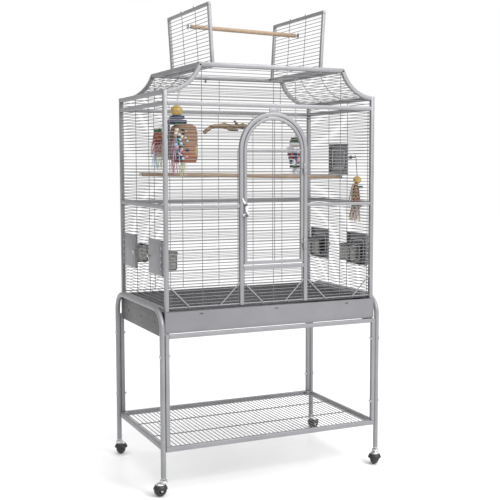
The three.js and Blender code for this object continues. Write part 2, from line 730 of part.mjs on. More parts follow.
const LEAF_WIDTH = 2 * FEEDER_HALF - 2 * HINGE_INSET;
const feederPlaces = [
  ['left_front', -1, -FEEDER_Y, -1],
  ['left_back', -1, FEEDER_Y, 1],
  ['right_front', 1, -FEEDER_Y, -1],
  ['right_back', 1, FEEDER_Y, 1],
];
const feederLeafSolid = feederLeaf(LEAF_WIDTH, FEEDER_HALF_H, Z_FEEDER, true);
const cupSolid = cup().translate(CUP.fromHinge, 0, 0);
for (const [place, sign, middle, end] of feederPlaces) {
  const hingeY = middle + end * (FEEDER_HALF - HINGE_INSET);
  add(`feeder_door_${place}`, placeOnWall(feederLeafSolid, sign, hingeY, -end));
  add(`feeder_cup_${place}`, placeOnWall(cupSolid, sign, hingeY, -end), steel);
}
const hatchLeaf = feederLeaf(LEAF_WIDTH, HATCH_HALF_H, Z_HATCH, false);
add('side_hatch', placeOnWall(hatchLeaf, 1, FEEDER_HALF - HINGE_INSET, -1));

// ---- door ----
function door() {
  const half = THIN / 2;
  const y = DOOR_Y;
  const low = Z_DOOR_FOOT;
  const parts = [
    plateXZ(archShape(DOOR_X + half, DOOR_X - half, low), y - half, y + half, 16),
    boxFrom([-DOOR_X - half + INSET, y - half + INSET, low - half], [DOOR_X + half - INSET, y + half - INSET, low + half]),
    boxFrom([-DOOR_X, y - half + 1, Z_SPRING - 4.5], [DOOR_X, y + half - 1, Z_SPRING + 3.5]),
  ];
  const inside = DOOR_X - half + SINK;
  for (const z of clearOf(levels(low + 24, Z_SPRING + 96, BAR_PITCH), Z_SPRING, 4)) {
    const rise = Math.max(z - Z_SPRING, 0);
    const reach = Math.sqrt(inside * inside - rise * rise);
    parts.push(...barsX(-reach, reach, y, [z]));
  }
  for (const z of DOOR_HINGES) {
    parts.push(rod([HINGE_X, HINGE_Y, z], [HINGE_X, HINGE_Y, z + 16], 4.5, 12));
    parts.push(boxFrom([HINGE_X - 12, HINGE_Y + 2, z + 1], [HINGE_X - 3.4, HINGE_Y + 7, z + 15]));
  }
  return cut(join(parts), DOOR_HINGES.map((z) => rod([HINGE_X, HINGE_Y, z - 1], [HINGE_X, HINGE_Y, z + 17], 2.8, 12)));
}
const DOOR_HINGES = [885, 1165];
add('front_door', door());

function hingePin(z) {
  const leafFace = -HALF_D - POST / 2 - GAP;
  return join([
    rod([HINGE_X, HINGE_Y, z - 18], [HINGE_X, HINGE_Y, z - GAP], 4.5, 12),
    rod([HINGE_X, HINGE_Y, z - 2], [HINGE_X, HINGE_Y, z + 20], 2.3, 12),
    boxFrom([HINGE_X + 1, leafFace - 2.2, z - 18], [HINGE_X + 13, leafFace, z - GAP]),
  ]);
}
add('door_hinge_lower', hingePin(DOOR_HINGES[0]), steel);
add('door_hinge_upper', hingePin(DOOR_HINGES[1]), steel);

const LATCH_Z = 1036;
function doorLatch() {
  const face = DOOR_Y - THIN / 2 - GAP;
  const lever = new THREE.Shape();
  lever.moveTo(-DOOR_X - 21, LATCH_Z + 5);
  lever.lineTo(-DOOR_X - 21, LATCH_Z - 5);
  lever.lineTo(-DOOR_X - 7, LATCH_Z - 5);
  lever.lineTo(-DOOR_X - 5, LATCH_Z - 44);
  lever.absarc(-DOOR_X, LATCH_Z - 44, 5, Math.PI, 2 * Math.PI, false);
  lever.lineTo(-DOOR_X + 7, LATCH_Z);
  lever.lineTo(-DOOR_X + 4, LATCH_Z + 9);
  lever.closePath();
  return join([
    plateXZ(lever, face - 4, face - 1.5, 6),
    rod([-DOOR_X, face - 6, LATCH_Z], [-DOOR_X, face, LATCH_Z], 5.5, 14),
    rod([-DOOR_X, face - 16, LATCH_Z - 42], [-DOOR_X, face - 3, LATCH_Z - 42], 5, 14),
  ]);
}
add('door_latch', doorLatch(), steel);

// ---- roof ----
function roofRing() {
  const reach = INNER_Y;
  const endX = RING_HALF;
  const parts = [];
  for (const sign of [-1, 1]) {
    parts.push(tubeY(sign * endX, -reach, reach, Z_RING));
    parts.push(tubeY(sign * CROSS_RAIL_X, -reach + 4, reach - 4, Z_RING, THIN));
    parts.push(tubeX(-endX, endX, sign * STRIP_RAIL_Y, Z_RING, THIN));
    parts.push(...barsX(-endX, endX, sign * (STRIP_RAIL_Y + 16), [Z_RING]));
    parts.push(...barsY(sign * (CROSS_RAIL_X + 24), -STRIP_RAIL_Y, STRIP_RAIL_Y, [Z_RING]));
  }
  return join(parts);
}
add('roof_ring', roofRing());

function roofSlope() {
  const bow = (y) => sweep(squareSection(4), new Shoulder(0.12, 0.9), 6).translate(0, y, 0);
  const parts = [-INNER_Y + 2, 0, INNER_Y - 2].map(bow);
  const shares = levels(0.14, 0.88, 0.18);
  for (const share of shares) {
    const spot = new Shoulder().getPoint(share);
    parts.push(rod([spot.x, -INNER_Y + 1, spot.z], [spot.x, INNER_Y - 1, spot.z], 2, 4));
  }
  return join(parts);
}
const slope = roofSlope();
add('roof_slope_right', slope);
add('roof_slope_left', mirrorX(slope));

// Leans a piece of the open flap outward about its hinge line.
function leaned(geometry, sign) {
  geometry.translate(-sign * FLAP_X, 0, -Z_FLAP_AXIS);
  geometry.rotateY(sign * FLAP_LEAN);
  return geometry.translate(sign * FLAP_X, 0, Z_FLAP_AXIS);
}

function flap(sign, perchZ) {
  const x = sign * FLAP_X;
  const half = THIN / 2;
  const d = FLAP_HALF_D;
  const parts = [
    tubeY(x, -d - half, d + half, Z_FLAP_AXIS, THIN),
    tubeY(x, -d - half, d + half, Z_FLAP_TOP, THIN),
    ...[-d, d].map((y) => tubeZ(x, y, Z_FLAP_AXIS, Z_FLAP_TOP, THIN)),
  ];
  const heights = levels(Z_FLAP_AXIS + 20, Z_FLAP_TOP - 20, BAR_PITCH);
  parts.push(...barsY(x, -d, d, heights.filter((z) => Math.abs(z - perchZ) > 5)));
  for (const end of [-1, 1]) parts.push(rod([x, end * (d + 4), Z_FLAP_AXIS], [x, end * (d + 9.5), Z_FLAP_AXIS], 3, 10));
  return leaned(join(parts), sign);
}
add('roof_flap_left', flap(-1, Z_TOP_PERCH.left));
add('roof_flap_right', flap(1, Z_TOP_PERCH.right));

// ---- perches ----
// Distance from the middle to a leaning flap's plane at a height.
function flapPlane(z) {
  return FLAP_X + (z - Z_FLAP_AXIS) * Math.tan(FLAP_LEAN);
}

function topPerch() {
  const { left, right } = Z_TOP_PERCH;
  return rod([PERCH_CLEAR - flapPlane(left), 0, left], [flapPlane(right) - PERCH_CLEAR, 0, right], PERCH_R, 20);
}
add('top_perch', topPerch(), wood);

function perchBolt(sign, perchZ) {
  const z = Z_FLAP_AXIS + (perchZ - Z_FLAP_AXIS) / Math.cos(FLAP_LEAN);
  const along = (from, to, radius, sides) => rod([sign * (FLAP_X + from), 0, z], [sign * (FLAP_X + to), 0, z], radius, sides);
  const shank = along(-THIN / 2, 10, 2.5, 10);
  const washer = along(2, 3.5, 12, 20);
  const nut = along(3, 8, 5, 6);
  return leaned(join([shank, washer, nut]), sign);
}
add('perch_bolt_left', perchBolt(-1, Z_TOP_PERCH.left), steel);
add('perch_bolt_right', perchBolt(1, Z_TOP_PERCH.right), steel);

const LONG_PERCH_END = HALF_W - BAR / 2 - GAP - 1;
add('long_perch', rod([-LONG_PERCH_END, 14, 1145], [LONG_PERCH_END, -20, 1131], PERCH_R, 20), wood);

function branchPerch() {
  const y = HALF_D - 10 - GAP;
  const stem = new THREE.CatmullRomCurve3([
    new THREE.Vector3(104, y, 1341),
    new THREE.Vector3(96, y - 40, 1340),
    new THREE.Vector3(60, y - 82, 1338),
    new THREE.Vector3(10, y - 104, 1336),
    new THREE.Vector3(-46, y - 122, 1337),
    new THREE.Vector3(-92, y - 132, 1330),
    new THREE.Vector3(-128, y - 138, 1306),
  ]);
  const twig = new THREE.CatmullRomCurve3([
    new THREE.Vector3(-40, y - 120, 1336),
    new THREE.Vector3(-14, y - 126, 1328),
    new THREE.Vector3(14, y - 140, 1322),
  ]);
  return join([sweep(polygonSection(10, 8), stem, 14), sweep(polygonSection(8, 6), twig, 4)]);
}
add('branch_perch', branchPerch(), bark);

// ---- hanging toys: plain outer shapes ----
function hangingToy(x, y, hookZ, profile, sides) {
  const points = [...profile, [1.5, hookZ - 6], [1.5, hookZ], [0, hookZ]];
  const body = new THREE.LatheGeometry(points.map(([r, z]) => new THREE.Vector2(r, z)), sides);
  return body.rotateX(Math.PI / 2).translate(x, y, 0);
}

const basketProfile = [[0, 1088], [26, 1092], [34, 1192], [52, 1204], [56, 1262], [50, 1312], [30, 1326], [24, 1352],
  [12, 1360], [23, 1376], [12, 1398], [1.5, 1404]];
const BOARD_Z = 1345; // a board that carries a second, smaller bunch beside the barrel
const bunchProfile = [[0, 1242], [14, 1246], [23, 1284], [23, 1318], [12, BOARD_Z - 4], [0, BOARD_Z - 4]];
function basketToy() {
  const [x, y] = [-296, -100];
  const [bunchX, bunchY] = [-364, -22];
  const bunch = new THREE.LatheGeometry(bunchProfile.map(([r, z]) => new THREE.Vector2(r, z)), 12);
  return join([
    hangingToy(x, y, 1508, basketProfile, 12),
    rod([x, y, BOARD_Z], [bunchX, bunchY, BOARD_Z], 7, 8),
    bunch.rotateX(Math.PI / 2).translate(bunchX, bunchY, 0),
  ]);
}
add('toy_basket', basketToy(), woven);

const blockProfile = [[0, 1108], [10, 1112], [26, 1160], [38, 1178], [40, 1222], [30, 1262], [22, 1284], [1.5, 1288]];
add('toy_blocks', hangingToy(238, 32, 1526, blockProfile, 12), painted);

const TASSEL_X = 378;
const TASSEL_Y = -215;
const TASSEL_Z = 1208;
const HOOK_REACH = 104; // from the tassel back to where its rod meets the wall
const tasselProfile = [[0, 952], [20, 960], [27, 1010], [14, 1080], [9, 1096], [17, 1114], [9, 1134], [1.5, 1138]];
add('toy_tassel', hangingToy(TASSEL_X, TASSEL_Y, TASSEL_Z, tasselProfile, 12), woven);

function toyHook() {
  return join([
    rod([TASSEL_X - 1, TASSEL_Y, TASSEL_Z + 4], [HALF_W - 3, TASSEL_Y + HOOK_REACH, TASSEL_Z + 4], 2, 8),
    rod([TASSEL_X, TASSEL_Y, TASSEL_Z + 4], [TASSEL_X - 6, TASSEL_Y, TASSEL_Z + 11], 2, 8),
  ]);
}
add('toy_hook', toyHook(), steel);

export default cage;
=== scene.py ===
"""Looks of a play-top bird cage on a rolling stand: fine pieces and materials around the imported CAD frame.

+Z is up and the cage door faces -Y. Shapes are drawn in millimetres; piece() scales them to the frame's metres.
A piece usually stands for one CAD node and rides on that node's body.
"""
import json
import math
import random

import bpy
from mathutils import Matrix, Vector, noise


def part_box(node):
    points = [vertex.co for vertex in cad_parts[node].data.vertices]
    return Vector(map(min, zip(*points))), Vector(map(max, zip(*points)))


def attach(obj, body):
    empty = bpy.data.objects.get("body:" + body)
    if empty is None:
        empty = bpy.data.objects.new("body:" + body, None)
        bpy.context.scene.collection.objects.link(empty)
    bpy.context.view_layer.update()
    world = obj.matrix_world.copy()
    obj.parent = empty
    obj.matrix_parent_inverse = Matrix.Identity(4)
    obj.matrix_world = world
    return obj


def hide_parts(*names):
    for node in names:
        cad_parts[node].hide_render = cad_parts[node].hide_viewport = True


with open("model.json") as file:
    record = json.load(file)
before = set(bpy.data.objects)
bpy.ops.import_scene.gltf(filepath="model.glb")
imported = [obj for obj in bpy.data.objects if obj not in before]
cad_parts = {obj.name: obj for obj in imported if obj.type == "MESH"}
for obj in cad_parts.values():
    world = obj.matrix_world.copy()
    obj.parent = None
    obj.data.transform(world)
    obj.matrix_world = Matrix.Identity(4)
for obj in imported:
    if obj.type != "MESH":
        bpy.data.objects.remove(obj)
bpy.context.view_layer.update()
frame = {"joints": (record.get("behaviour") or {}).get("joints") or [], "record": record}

MM = 0.001
X = Vector((1, 0, 0))
Y = Vector((0, 1, 0))
Z = Vector((0, 0, 1))
RECORD = frame["record"]
BODY_OF = {node: body for body, nodes in RECORD["behaviour"]["bodies"].items() for node in nodes}
JOINT = {joint["name"]: joint for joint in frame["joints"]}


# ---- sizes, worked out from the frame ----
def box(node):
    """The low and high corners of a CAD node."""
    return [Vector(corner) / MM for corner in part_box(node)]


def low(node):
    return box(node)[0]


def high(node):
    return box(node)[1]


def pivot(joint):
    return Vector(JOINT[joint]["pos_m"]) / MM


POST = 15  # square tube of the cage
THIN = 12  # square tube of the door and the flaps
EDGE = 2.2  # corner radius of the square tubes
WIRE = 1.2  # radius of a panel wire
PITCH = 12  # from wire to wire
SINK = 2  # how far a wire runs into the tube it is welded to
GAP = 0.3

HALF_W = high("back_grille").x - POST / 2
HALF_D = high("back_grille").y - POST / 2
POST_FOOT = low("back_grille").z
EAVES = high("back_grille").z - POST / 2
HIGH_RAIL = low("front_gable").z + POST / 2
MID_RAIL = 1032
WALL_FOOT = low("side_wall_left").z + POST / 2
PANEL_FOOT = WALL_FOOT + 12
RING_Z = high("roof_ring").z - POST / 2
RING_X = high("roof_ring").x - POST / 2
SHOULDER_R = 146
SHOULDER_TURN = math.acos(1 - (RING_Z - EAVES) / SHOULDER_R)
SHOULDER_X = HALF_W + POST / 2

FLAP_X = pivot("flap_lean_right")[0]
FLAP_D = high("roof_flap_right").y - 9.5
FLAP_FOOT = pivot("flap_lean_right")[2]
FLAP_TOP = 1756  # before the flap leans
FLAP_LEAN = math.radians(3.5)  # outward, as the flap stands open
CROSS_RAIL_X = 236
STRIP_RAIL_Y = 229

STILE_X = high("door_frame").x - POST / 2
DOOR_X = -low("front_door").x - THIN / 2
SPRING = high("front_door").z - THIN / 2 - DOOR_X
DOOR_FOOT = low("front_door").z + THIN / 2
DOOR_Y = -HALF_D - POST / 2 + THIN / 2
SILL = high("front_grille_lower").z + GAP + POST / 2

FEEDER_Y = 155
FEEDER_HALF = 75
FEEDER_Z = (low("feeder_door_left_front").z + high("feeder_door_left_front").z) / 2
FEEDER_TALL = 64
HATCH_Z = (low("side_hatch").z + high("side_hatch").z) / 2
HATCH_TALL = 62

LEG_R = 9.5
LEG_BEND = 70
LEG_X = high("stand_side_frame_right").x - LEG_R
LEG_Y = high("stand_side_frame_right").y - LEG_R
LEG_FOOT = low("stand_side_frame_right").z
LEG_TOP = high("stand_side_frame_right").z - LEG_R
STAND_RAIL = high("stand_front_frame").z - POST / 2
UPRIGHT_X = high("stand_front_frame").x - POST / 2
SHELF_Z = (low("storage_shelf").z + high("storage_shelf").z) / 2
SHELF_TALL = high("storage_shelf").z - low("storage_shelf").z
LEG_BOLT_HEIGHTS = (253, 503)


# ---- camera, light and floor ----
def camera():
    data = bpy.data.cameras.new("camera")
    data.lens = 68.66
    data.sensor_width = 36
    data.shift_x = -0.0428
    data.shift_y = -0.0039
    data.clip_end = 60
    view = bpy.data.objects.new("camera", data)
    view.location = (-1.5239, -3.4406, 1.1848)
    view.rotation_euler = (math.radians(84.946), 0, math.radians(-25.479))
    bpy.context.scene.collection.objects.link(view)
    bpy.context.scene.camera = view


def area_light(name, place, target, size, power):
    data = bpy.data.lights.new(name, "AREA")
    data.shape = "DISK"
    data.size = size
    data.energy = power
    lamp = bpy.data.objects.new(name, data)
    lamp.location = place
    lamp.rotation_euler = (Vector(target) - Vector(place)).to_track_quat("-Z", "Y").to_euler()
    bpy.context.scene.collection.objects.link(lamp)


def sun(name, direction, strength, spread):
    data = bpy.data.lights.new(name, "SUN")
    data.energy = strength
    data.angle = math.radians(spread)
    lamp = bpy.data.objects.new(name, data)
    lamp.rotation_euler = Vector(direction).to_track_quat("-Z", "Y").to_euler()
    bpy.context.scene.collection.objects.link(lamp)


def studio():
    """Even light from above and from a white room, and a soft key from the front."""
    area_light("key", (1.4, -3.4, 3), (0, 0, 1.2), 1.6, 90)
    sun("sky", (-0.3, 0.26, -1), 2.3, 95)
    world = bpy.data.worlds.new("studio")
    world.use_nodes = True
    nodes = world.node_tree.nodes
    strength = nodes.new("ShaderNodeMapRange")
    strength.inputs["To Min"].default_value = 0.66  # what lights the object
    strength.inputs["To Max"].default_value = 1.0  # the white backdrop
    links = world.node_tree.links
    rays = nodes.new("ShaderNodeLightPath")
    links.new(rays.outputs["Is Camera Ray"], strength.inputs["Value"])
    links.new(strength.outputs["Result"], nodes["Background"].inputs["Strength"])
    nodes["Background"].inputs["Color"].default_value = (1, 1, 1, 1)
    bpy.context.scene.world = world
    bpy.context.scene.view_settings.view_transform = "Standard"


def studio_floor():
    half = 14  # metres
    corners = [(-half, -half, 0), (half, -half, 0), (half, half, 0), (-half, half, 0)]
    mesh = bpy.data.meshes.new("studio_floor")
    mesh.from_pydata(corners, [], [(0, 1, 2, 3)])
    floor = bpy.data.objects.new("studio_floor", mesh)
    paint = Paint("pale_floor", Roughness=0.2, Specular_IOR_Level=0.06)
    paint.shade(paint.noise(3), (0.94, 0.94, 0.943), (0.96, 0.96, 0.963))
    mesh.materials.append(paint.material)
    bpy.context.scene.collection.objects.link(floor)


# ---- materials ----
def scaled(colour, factor):
    return tuple(factor * c for c in colour)


def blended(dark, light, factor):
    return tuple(factor * (d + l) for d, l in zip(dark, light))


class Paint:
    """One procedural material. Noise is in the object's own metres."""

    def __init__(self, name, **sockets):
        self.material = bpy.data.materials.new(name)
        self.material.use_nodes = True
        self.tree = self.material.node_tree
        self.shader = self.tree.nodes["Principled BSDF"]
        for socket, value in sockets.items():
            self.shader.inputs[socket.replace("_", " ")].default_value = value
        self.place = self.tree.nodes.new("ShaderNodeTexCoord").outputs["Object"]

    def link(self, output, target):
        self.tree.links.new(output, target)

    def stretched(self, stretch):
        mapping = self.tree.nodes.new("ShaderNodeMapping")
        mapping.inputs["Scale"].default_value = stretch
        self.link(self.place, mapping.inputs["Vector"])
        return mapping.outputs["Vector"]

    def noise(self, scale, detail=3, stretch=None, distortion=0):
        node = self.tree.nodes.new("ShaderNodeTexNoise")
        node.inputs["Scale"].default_value = scale
        node.inputs["Detail"].default_value = detail
        node.inputs["Distortion"].default_value = distortion
        self.link(self.stretched(stretch) if stretch else self.place, node.inputs["Vector"])
        return node.outputs["Fac"]

    def cells(self, scale, stretch=None):
        node = self.tree.nodes.new("ShaderNodeTexVoronoi")
        node.inputs["Scale"].default_value = scale
        self.link(self.stretched(stretch) if stretch else self.place, node.inputs["Vector"])
        return node.outputs["Distance"]

    def ramp(self, value, *stops):
        node = self.tree.nodes.new("ShaderNodeValToRGB")
        elements = node.color_ramp.elements
        while len(elements) < len(stops):
            elements.new(0.5)
        for element, (position, colour) in zip(elements, stops):
            element.position = position
            element.color = (*colour, 1)
        self.link(value, node.inputs["Fac"])
        return node.outputs["Color"]

    def shade(self, value, dark, light, start=0.35, end=0.65):
        self.link(self.ramp(value, (start, dark), (end, light)), self.shader.inputs["Base Color"])

    def mix(self, value, first, second):
        node = self.tree.nodes.new("ShaderNodeMix")
        node.data_type = "RGBA"
        self.link(value, node.inputs["Factor"])
        self.link(first, node.inputs[6])
        self.link(second, node.inputs[7])
        return node.outputs[2]

    def gloss(self, value, smooth, rough):
        node = self.tree.nodes.new("ShaderNodeMapRange")
        node.inputs["From Min"].default_value = 0.3
        node.inputs["From Max"].default_value = 0.7
        node.inputs["To Min"].default_value = smooth
        node.inputs["To Max"].default_value = rough
        self.link(value, node.inputs["Value"])
        self.link(node.outputs["Result"], self.shader.inputs["Roughness"])

    def bump(self, value, depth, strength=1.0):
        node = self.tree.nodes.new("ShaderNodeBump")
        node.inputs["Distance"].default_value = depth
        node.inputs["Strength"].default_value = strength
        self.link(value, node.inputs["Height"])
        earlier = self.shader.inputs["Normal"].links
        if earlier:
            self.link(earlier[0].from_socket, node.inputs["Normal"])
        self.link(node.outputs["Normal"], self.shader.inputs["Normal"])


def powder_coat(name, dark, light, metallic=0.35):
    """Baked powder: a fine orange peel, small flecks and slow changes in tone."""
    paint = Paint(name, Metallic=metallic)
    slow = paint.ramp(paint.noise(7, 2), (0.35, dark), (0.65, light))
    fleck = paint.ramp(paint.noise(1500, 1), (0.35, scaled(dark, 0.86)), (0.65, light))
    mixing = paint.noise(420, 2)
    paint.link(paint.mix(mixing, slow, fleck), paint.shader.inputs["Base Color"])
    paint.gloss(paint.noise(60, 4), 0.34, 0.5)
    paint.bump(paint.noise(900, 2), 0.12 * MM, 0.35)
    return paint.material


def brushed_steel(name, stretch, dark=(0.5, 0.5, 0.51), light=(0.68, 0.68, 0.69)):
    paint = Paint(name, Metallic=1.0)
    grain = paint.noise(220, 3, stretch)
    paint.shade(grain, dark, light, 0.2, 0.8)
    paint.gloss(paint.noise(90, 3), 0.16, 0.32)
    paint.bump(grain, 0.05 * MM, 0.3)
    return paint.material


def zinc_steel():
    paint = Paint("zinc_steel", Metallic=1.0)
    paint.shade(paint.cells(240), (0.5, 0.505, 0.52), (0.66, 0.66, 0.66), 0.1, 0.8)
    paint.gloss(paint.noise(140, 4), 0.22, 0.42)
    paint.bump(paint.noise(600, 2), 0.05 * MM, 0.3)
    return paint.material


def moulded(name, dark, light, smooth=0.3, rough=0.5):
    """Moulded plastic or gloss paint with faint mottling."""
    paint = Paint(name)
    paint.shade(paint.noise(70, 3), dark, light)
    paint.gloss(paint.noise(160, 3), smooth, rough)
    paint.bump(paint.noise(700, 2), 0.08 * MM, 0.25)
    return paint.material


def wood_grain(name, dark, light, along=(1, 14, 14), scale=16, rough=0.6):
    paint = Paint(name)
    grain = paint.noise(scale, 6, along, 0.6)
    pores = paint.noise(scale * 5, 3, scaled(along, 0.6))
    tone = paint.ramp(grain, (0.3, dark), (0.5, light), (0.7, blended(dark, light, 0.5)))
    pore_tone = paint.ramp(pores, (0.35, scaled(dark, 0.7)), (0.6, light))
    paint.link(paint.mix(paint.noise(45, 2, along), tone, pore_tone), paint.shader.inputs["Base Color"])
    paint.gloss(grain, rough - 0.12, rough + 0.1)
    paint.bump(pores, 0.2 * MM, 0.5)
    return paint.material


def bark(name, dark, light):
    paint = Paint(name, Roughness=0.85)
    ridges = paint.cells(70, (0.5, 1.4, 1.4))
    tone = paint.ramp(paint.noise(40, 6), (0.35, dark), (0.5, blended(dark, light, 0.6)), (0.66, light))
    cracks = paint.ramp(ridges, (0.1, scaled(dark, 0.5)), (0.5, light))
    paint.link(paint.mix(paint.noise(110, 4), tone, cracks), paint.shader.inputs["Base Color"])
    paint.bump(ridges, 0.8 * MM, 0.6)
    paint.bump(paint.noise(260, 5), 0.5 * MM, 0.6)
    return paint.material


def fibre(name, dark, light, along=(1, 1, 0.25), rough=0.8):
    """Plant fibre, paper or raffia with fine lengthwise strands."""
    paint = Paint(name, Roughness=rough)
    strands = paint.noise(340, 4, along)
    paint.shade(strands, dark, light, 0.25, 0.75)
    paint.bump(strands, 0.25 * MM, 0.6)
    return paint.material


def rubber():
    paint = Paint("wheel_black")
    paint.shade(paint.noise(120, 4), (0.012, 0.012, 0.013), (0.03, 0.03, 0.032))
    paint.gloss(paint.noise(200, 3), 0.38, 0.6)
    paint.bump(paint.noise(800, 3), 0.1 * MM, 0.4)
    return paint.material


# ---- solids ----
class Solid:
    """Closed shells gathered for one piece, each face with the number of its material."""

    def __init__(self):
        self.points = []
        self.faces = []
        self.paints = []

    def add(self, points, faces, paint=0):
        first = len(self.points)
        self.points.extend(points)
        self.faces.extend([first + i for i in face] for face in faces)
        self.paints.extend([paint] * len(faces))

    def merge(self, other, matrix=None):
        matrix = matrix or Matrix()
        flip = matrix.determinant() < 0
        first = len(self.points)
        self.points.extend(matrix @ Vector(p) for p in other.points)
        for face in other.faces:
            moved = [first + i for i in face]
            self.faces.append(moved[::-1] if flip else moved)
        self.paints.extend(other.paints)


def piece(name, solid, materials, node=None, body=None, smooth=50):
    """Makes the object, lets it ride on a body and, where it stands for a CAD node, hides that node."""
    mesh = bpy.data.meshes.new(name)
    mesh.from_pydata([tuple(Vector(p) * MM) for p in solid.points], [], solid.faces)
    for material in materials:
        mesh.materials.append(material)
    mesh.polygons.foreach_set("material_index", solid.paints)
    mesh.polygons.foreach_set("use_smooth", [True] * len(solid.faces))
    mesh.update()
    mesh.set_sharp_from_angle(angle=math.radians(smooth))
    obj = bpy.data.objects.new(name, mesh)
    bpy.context.scene.collection.objects.link(obj)
    if node:
        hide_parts(node)
    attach(obj, body or BODY_OF[node])
    return obj


def loft(solid, loops, paint=0, closed=False):
    """Skins a row of loops that have the same number of points; the two ends get caps unless it is closed."""
    count = len(loops[0])
    rows = len(loops)
    faces = []
    for i in range(rows if closed else rows - 1):
        j = (i + 1) % rows
        for k in range(count):
            n = (k + 1) % count
            faces.append([i * count + k, i * count + n, j * count + n, j * count + k])
    if not closed:
        faces.append(list(range(count))[::-1])
        faces.append([(rows - 1) * count + k for k in range(count)])
    solid.add([p for loop in loops for p in loop], faces, paint)


def circle(radius, sides, squash=1.0):
    turn = 2 * math.pi / sides
    return [(radius * math.cos(k * turn), squash * radius * math.sin(k * turn)) for k in range(sides)]


def rounded(width, height, corner, steps=3):
    """A rectangle with rounded corners, counterclockwise."""
    corner = min(corner, width / 2, height / 2)
    outline = []
    for side_x, side_y, first in ((1, 1, 0), (-1, 1, 90), (-1, -1, 180), (1, -1, 270)):
        for i in range(steps + 1):
            angle = math.radians(first + 90 * i / steps)
            x = side_x * (width / 2 - corner) + corner * math.cos(angle)
            y = side_y * (height / 2 - corner) + corner * math.sin(angle)
            outline.append((x, y))
    return outline


def guide_for(along):
    return X if abs(along.normalized().z) > 0.9 else Z


def set_loop(section, place, along, guide):
    side = (guide - along * guide.dot(along)).normalized()
    across = along.cross(side)
    return [place + side * u + across * v for u, v in section], side


def sweep(solid, path, section, guide=None, paint=0, closed=False):
    """Sweeps a section along a path. A section may be a list of outlines, one for each point of the path."""
    points = [Vector(p) for p in path]
    last = len(points) - 1
    guide = guide or guide_for(points[1] - points[0])
    varying = isinstance(section[0], list)
    loops = []
    for i, place in enumerate(points):
        before = points[i - 1] if i > 0 or closed else place
        after = points[(i + 1) % len(points)] if i < last or closed else place
        along = (after - before).normalized()
        loop, guide = set_loop(section[i] if varying else section, place, along, guide)
        loops.append(loop)
    loft(solid, loops, paint, closed)


def bar(solid, start, end, size, corner=EDGE, paint=0, soft=0):
    """A straight bar of rectangular section; soft is the radius that rounds its ends."""
    start = Vector(start)
    end = Vector(end)
    along = (end - start).normalized()
    guide = guide_for(along)
    if not soft:
        sweep(solid, [start, end], rounded(*size, corner), guide, paint)
        return
    turns = [math.radians(a) for a in (0, 30, 60, 90)]
    rings = [(soft * (1 - math.sin(t)), soft * (1 - math.cos(t))) for t in turns]
    loops = []
    far_loops = []
    for inset, shift in rings:
        section = rounded(size[0] - 2 * inset, size[1] - 2 * inset, max(corner - inset, 0.05))
        loops.append(set_loop(section, start + along * shift, along, guide)[0])
        far_loops.append(set_loop(section, end - along * shift, along, guide)[0])
    loft(solid, loops + far_loops[::-1], paint)


def block(solid, corner_a, corner_b, edge=1, paint=0):
    """A box with rounded edges between two corners."""
    a, b = Vector(corner_a), Vector(corner_b)
    lo = Vector(map(min, a, b))
    hi = Vector(map(max, a, b))
    middle = (lo + hi) / 2
    size = hi - lo
    edge = min(edge, 0.45 * min(size))
    bar(solid, (middle.x, middle.y, lo.z), (middle.x, middle.y, hi.z), (size.x, size.y), edge, paint, edge)


def tube(solid, start, end, size=POST, soft=0):
    bar(solid, start, end, (size, size), EDGE, 0, soft)


def wire(solid, start, end, radius=WIRE, sides=8, paint=1):
    sweep(solid, [start, end], circle(radius, sides), None, paint)


def lathe(solid, profile, foot, axis=Z, sides=32, paint=0):
    """Turns (radius, height) pairs about an axis through foot; the cap keeps a zero radius barely open."""
    axis = Vector(axis).normalized()
    loops = []
    for radius, height in profile:
        section = circle(max(radius, 0.02), sides)
        loops.append(set_loop(section, Vector(foot) + axis * height, axis, guide_for(axis))[0])
    loft(solid, loops, paint)


noise.seed_set(1)  # without a seed, noise_vector follows the clock


def weld(solid, place, axis, size, bead=0.7):
    """A bead around the end of a square tube that meets another tube's face."""
    axis = Vector(axis).normalized()
    outline = rounded(size + bead, size + bead, EDGE + bead / 2, 4)
    ring, _ = set_loop(outline, Vector(place), axis, guide_for(axis))
    rough = [p + noise.noise_vector(p * MM * 260) * 0.2 for p in ring]
    sweep(solid, rough, circle(bead, 6), axis, 0, True)


def levels(bottom, top, pitch=PITCH):
    count = int((top - bottom) / pitch + 1e-6)
    first = (bottom + top - count * pitch) / 2
    return [first + i * pitch for i in range(count + 1)]


def clear_of(heights, middle, half):
    return [z for z in heights if abs(z - middle) > half]


WALL_WIRES = clear_of(levels(PANEL_FOOT + 8, HIGH_RAIL - POST / 2 - 7), MID_RAIL, POST / 2 + WIRE)


# ---- stand ----
def side_frame_path(x):
    """A bent tube: up the front leg, back along the top and down the back leg."""
    straight = LEG_Y - LEG_BEND
    bend_z = LEG_TOP - LEG_BEND
    path = [Vector((x, -LEG_Y, LEG_FOOT)), Vector((x, -LEG_Y, bend_z - 20))]
    steps = 18
    for i in range(steps + 1):
        angle = math.pi - i * math.pi / 2 / steps
        across, up = LEG_BEND * math.cos(angle), LEG_BEND * math.sin(angle)
        path.append(Vector((x, across - straight, bend_z + up)))
    return path + [Vector((p.x, -p.y, p.z)) for p in reversed(path)]


def stand_side_frames(coat):
    for side, sign in (("left", -1), ("right", 1)):
        solid = Solid()
        sweep(solid, side_frame_path(sign * LEG_X), circle(LEG_R, 28), X)
        piece(f"bent_leg_tube_{side}", solid, [coat], f"stand_side_frame_{side}", smooth=40)


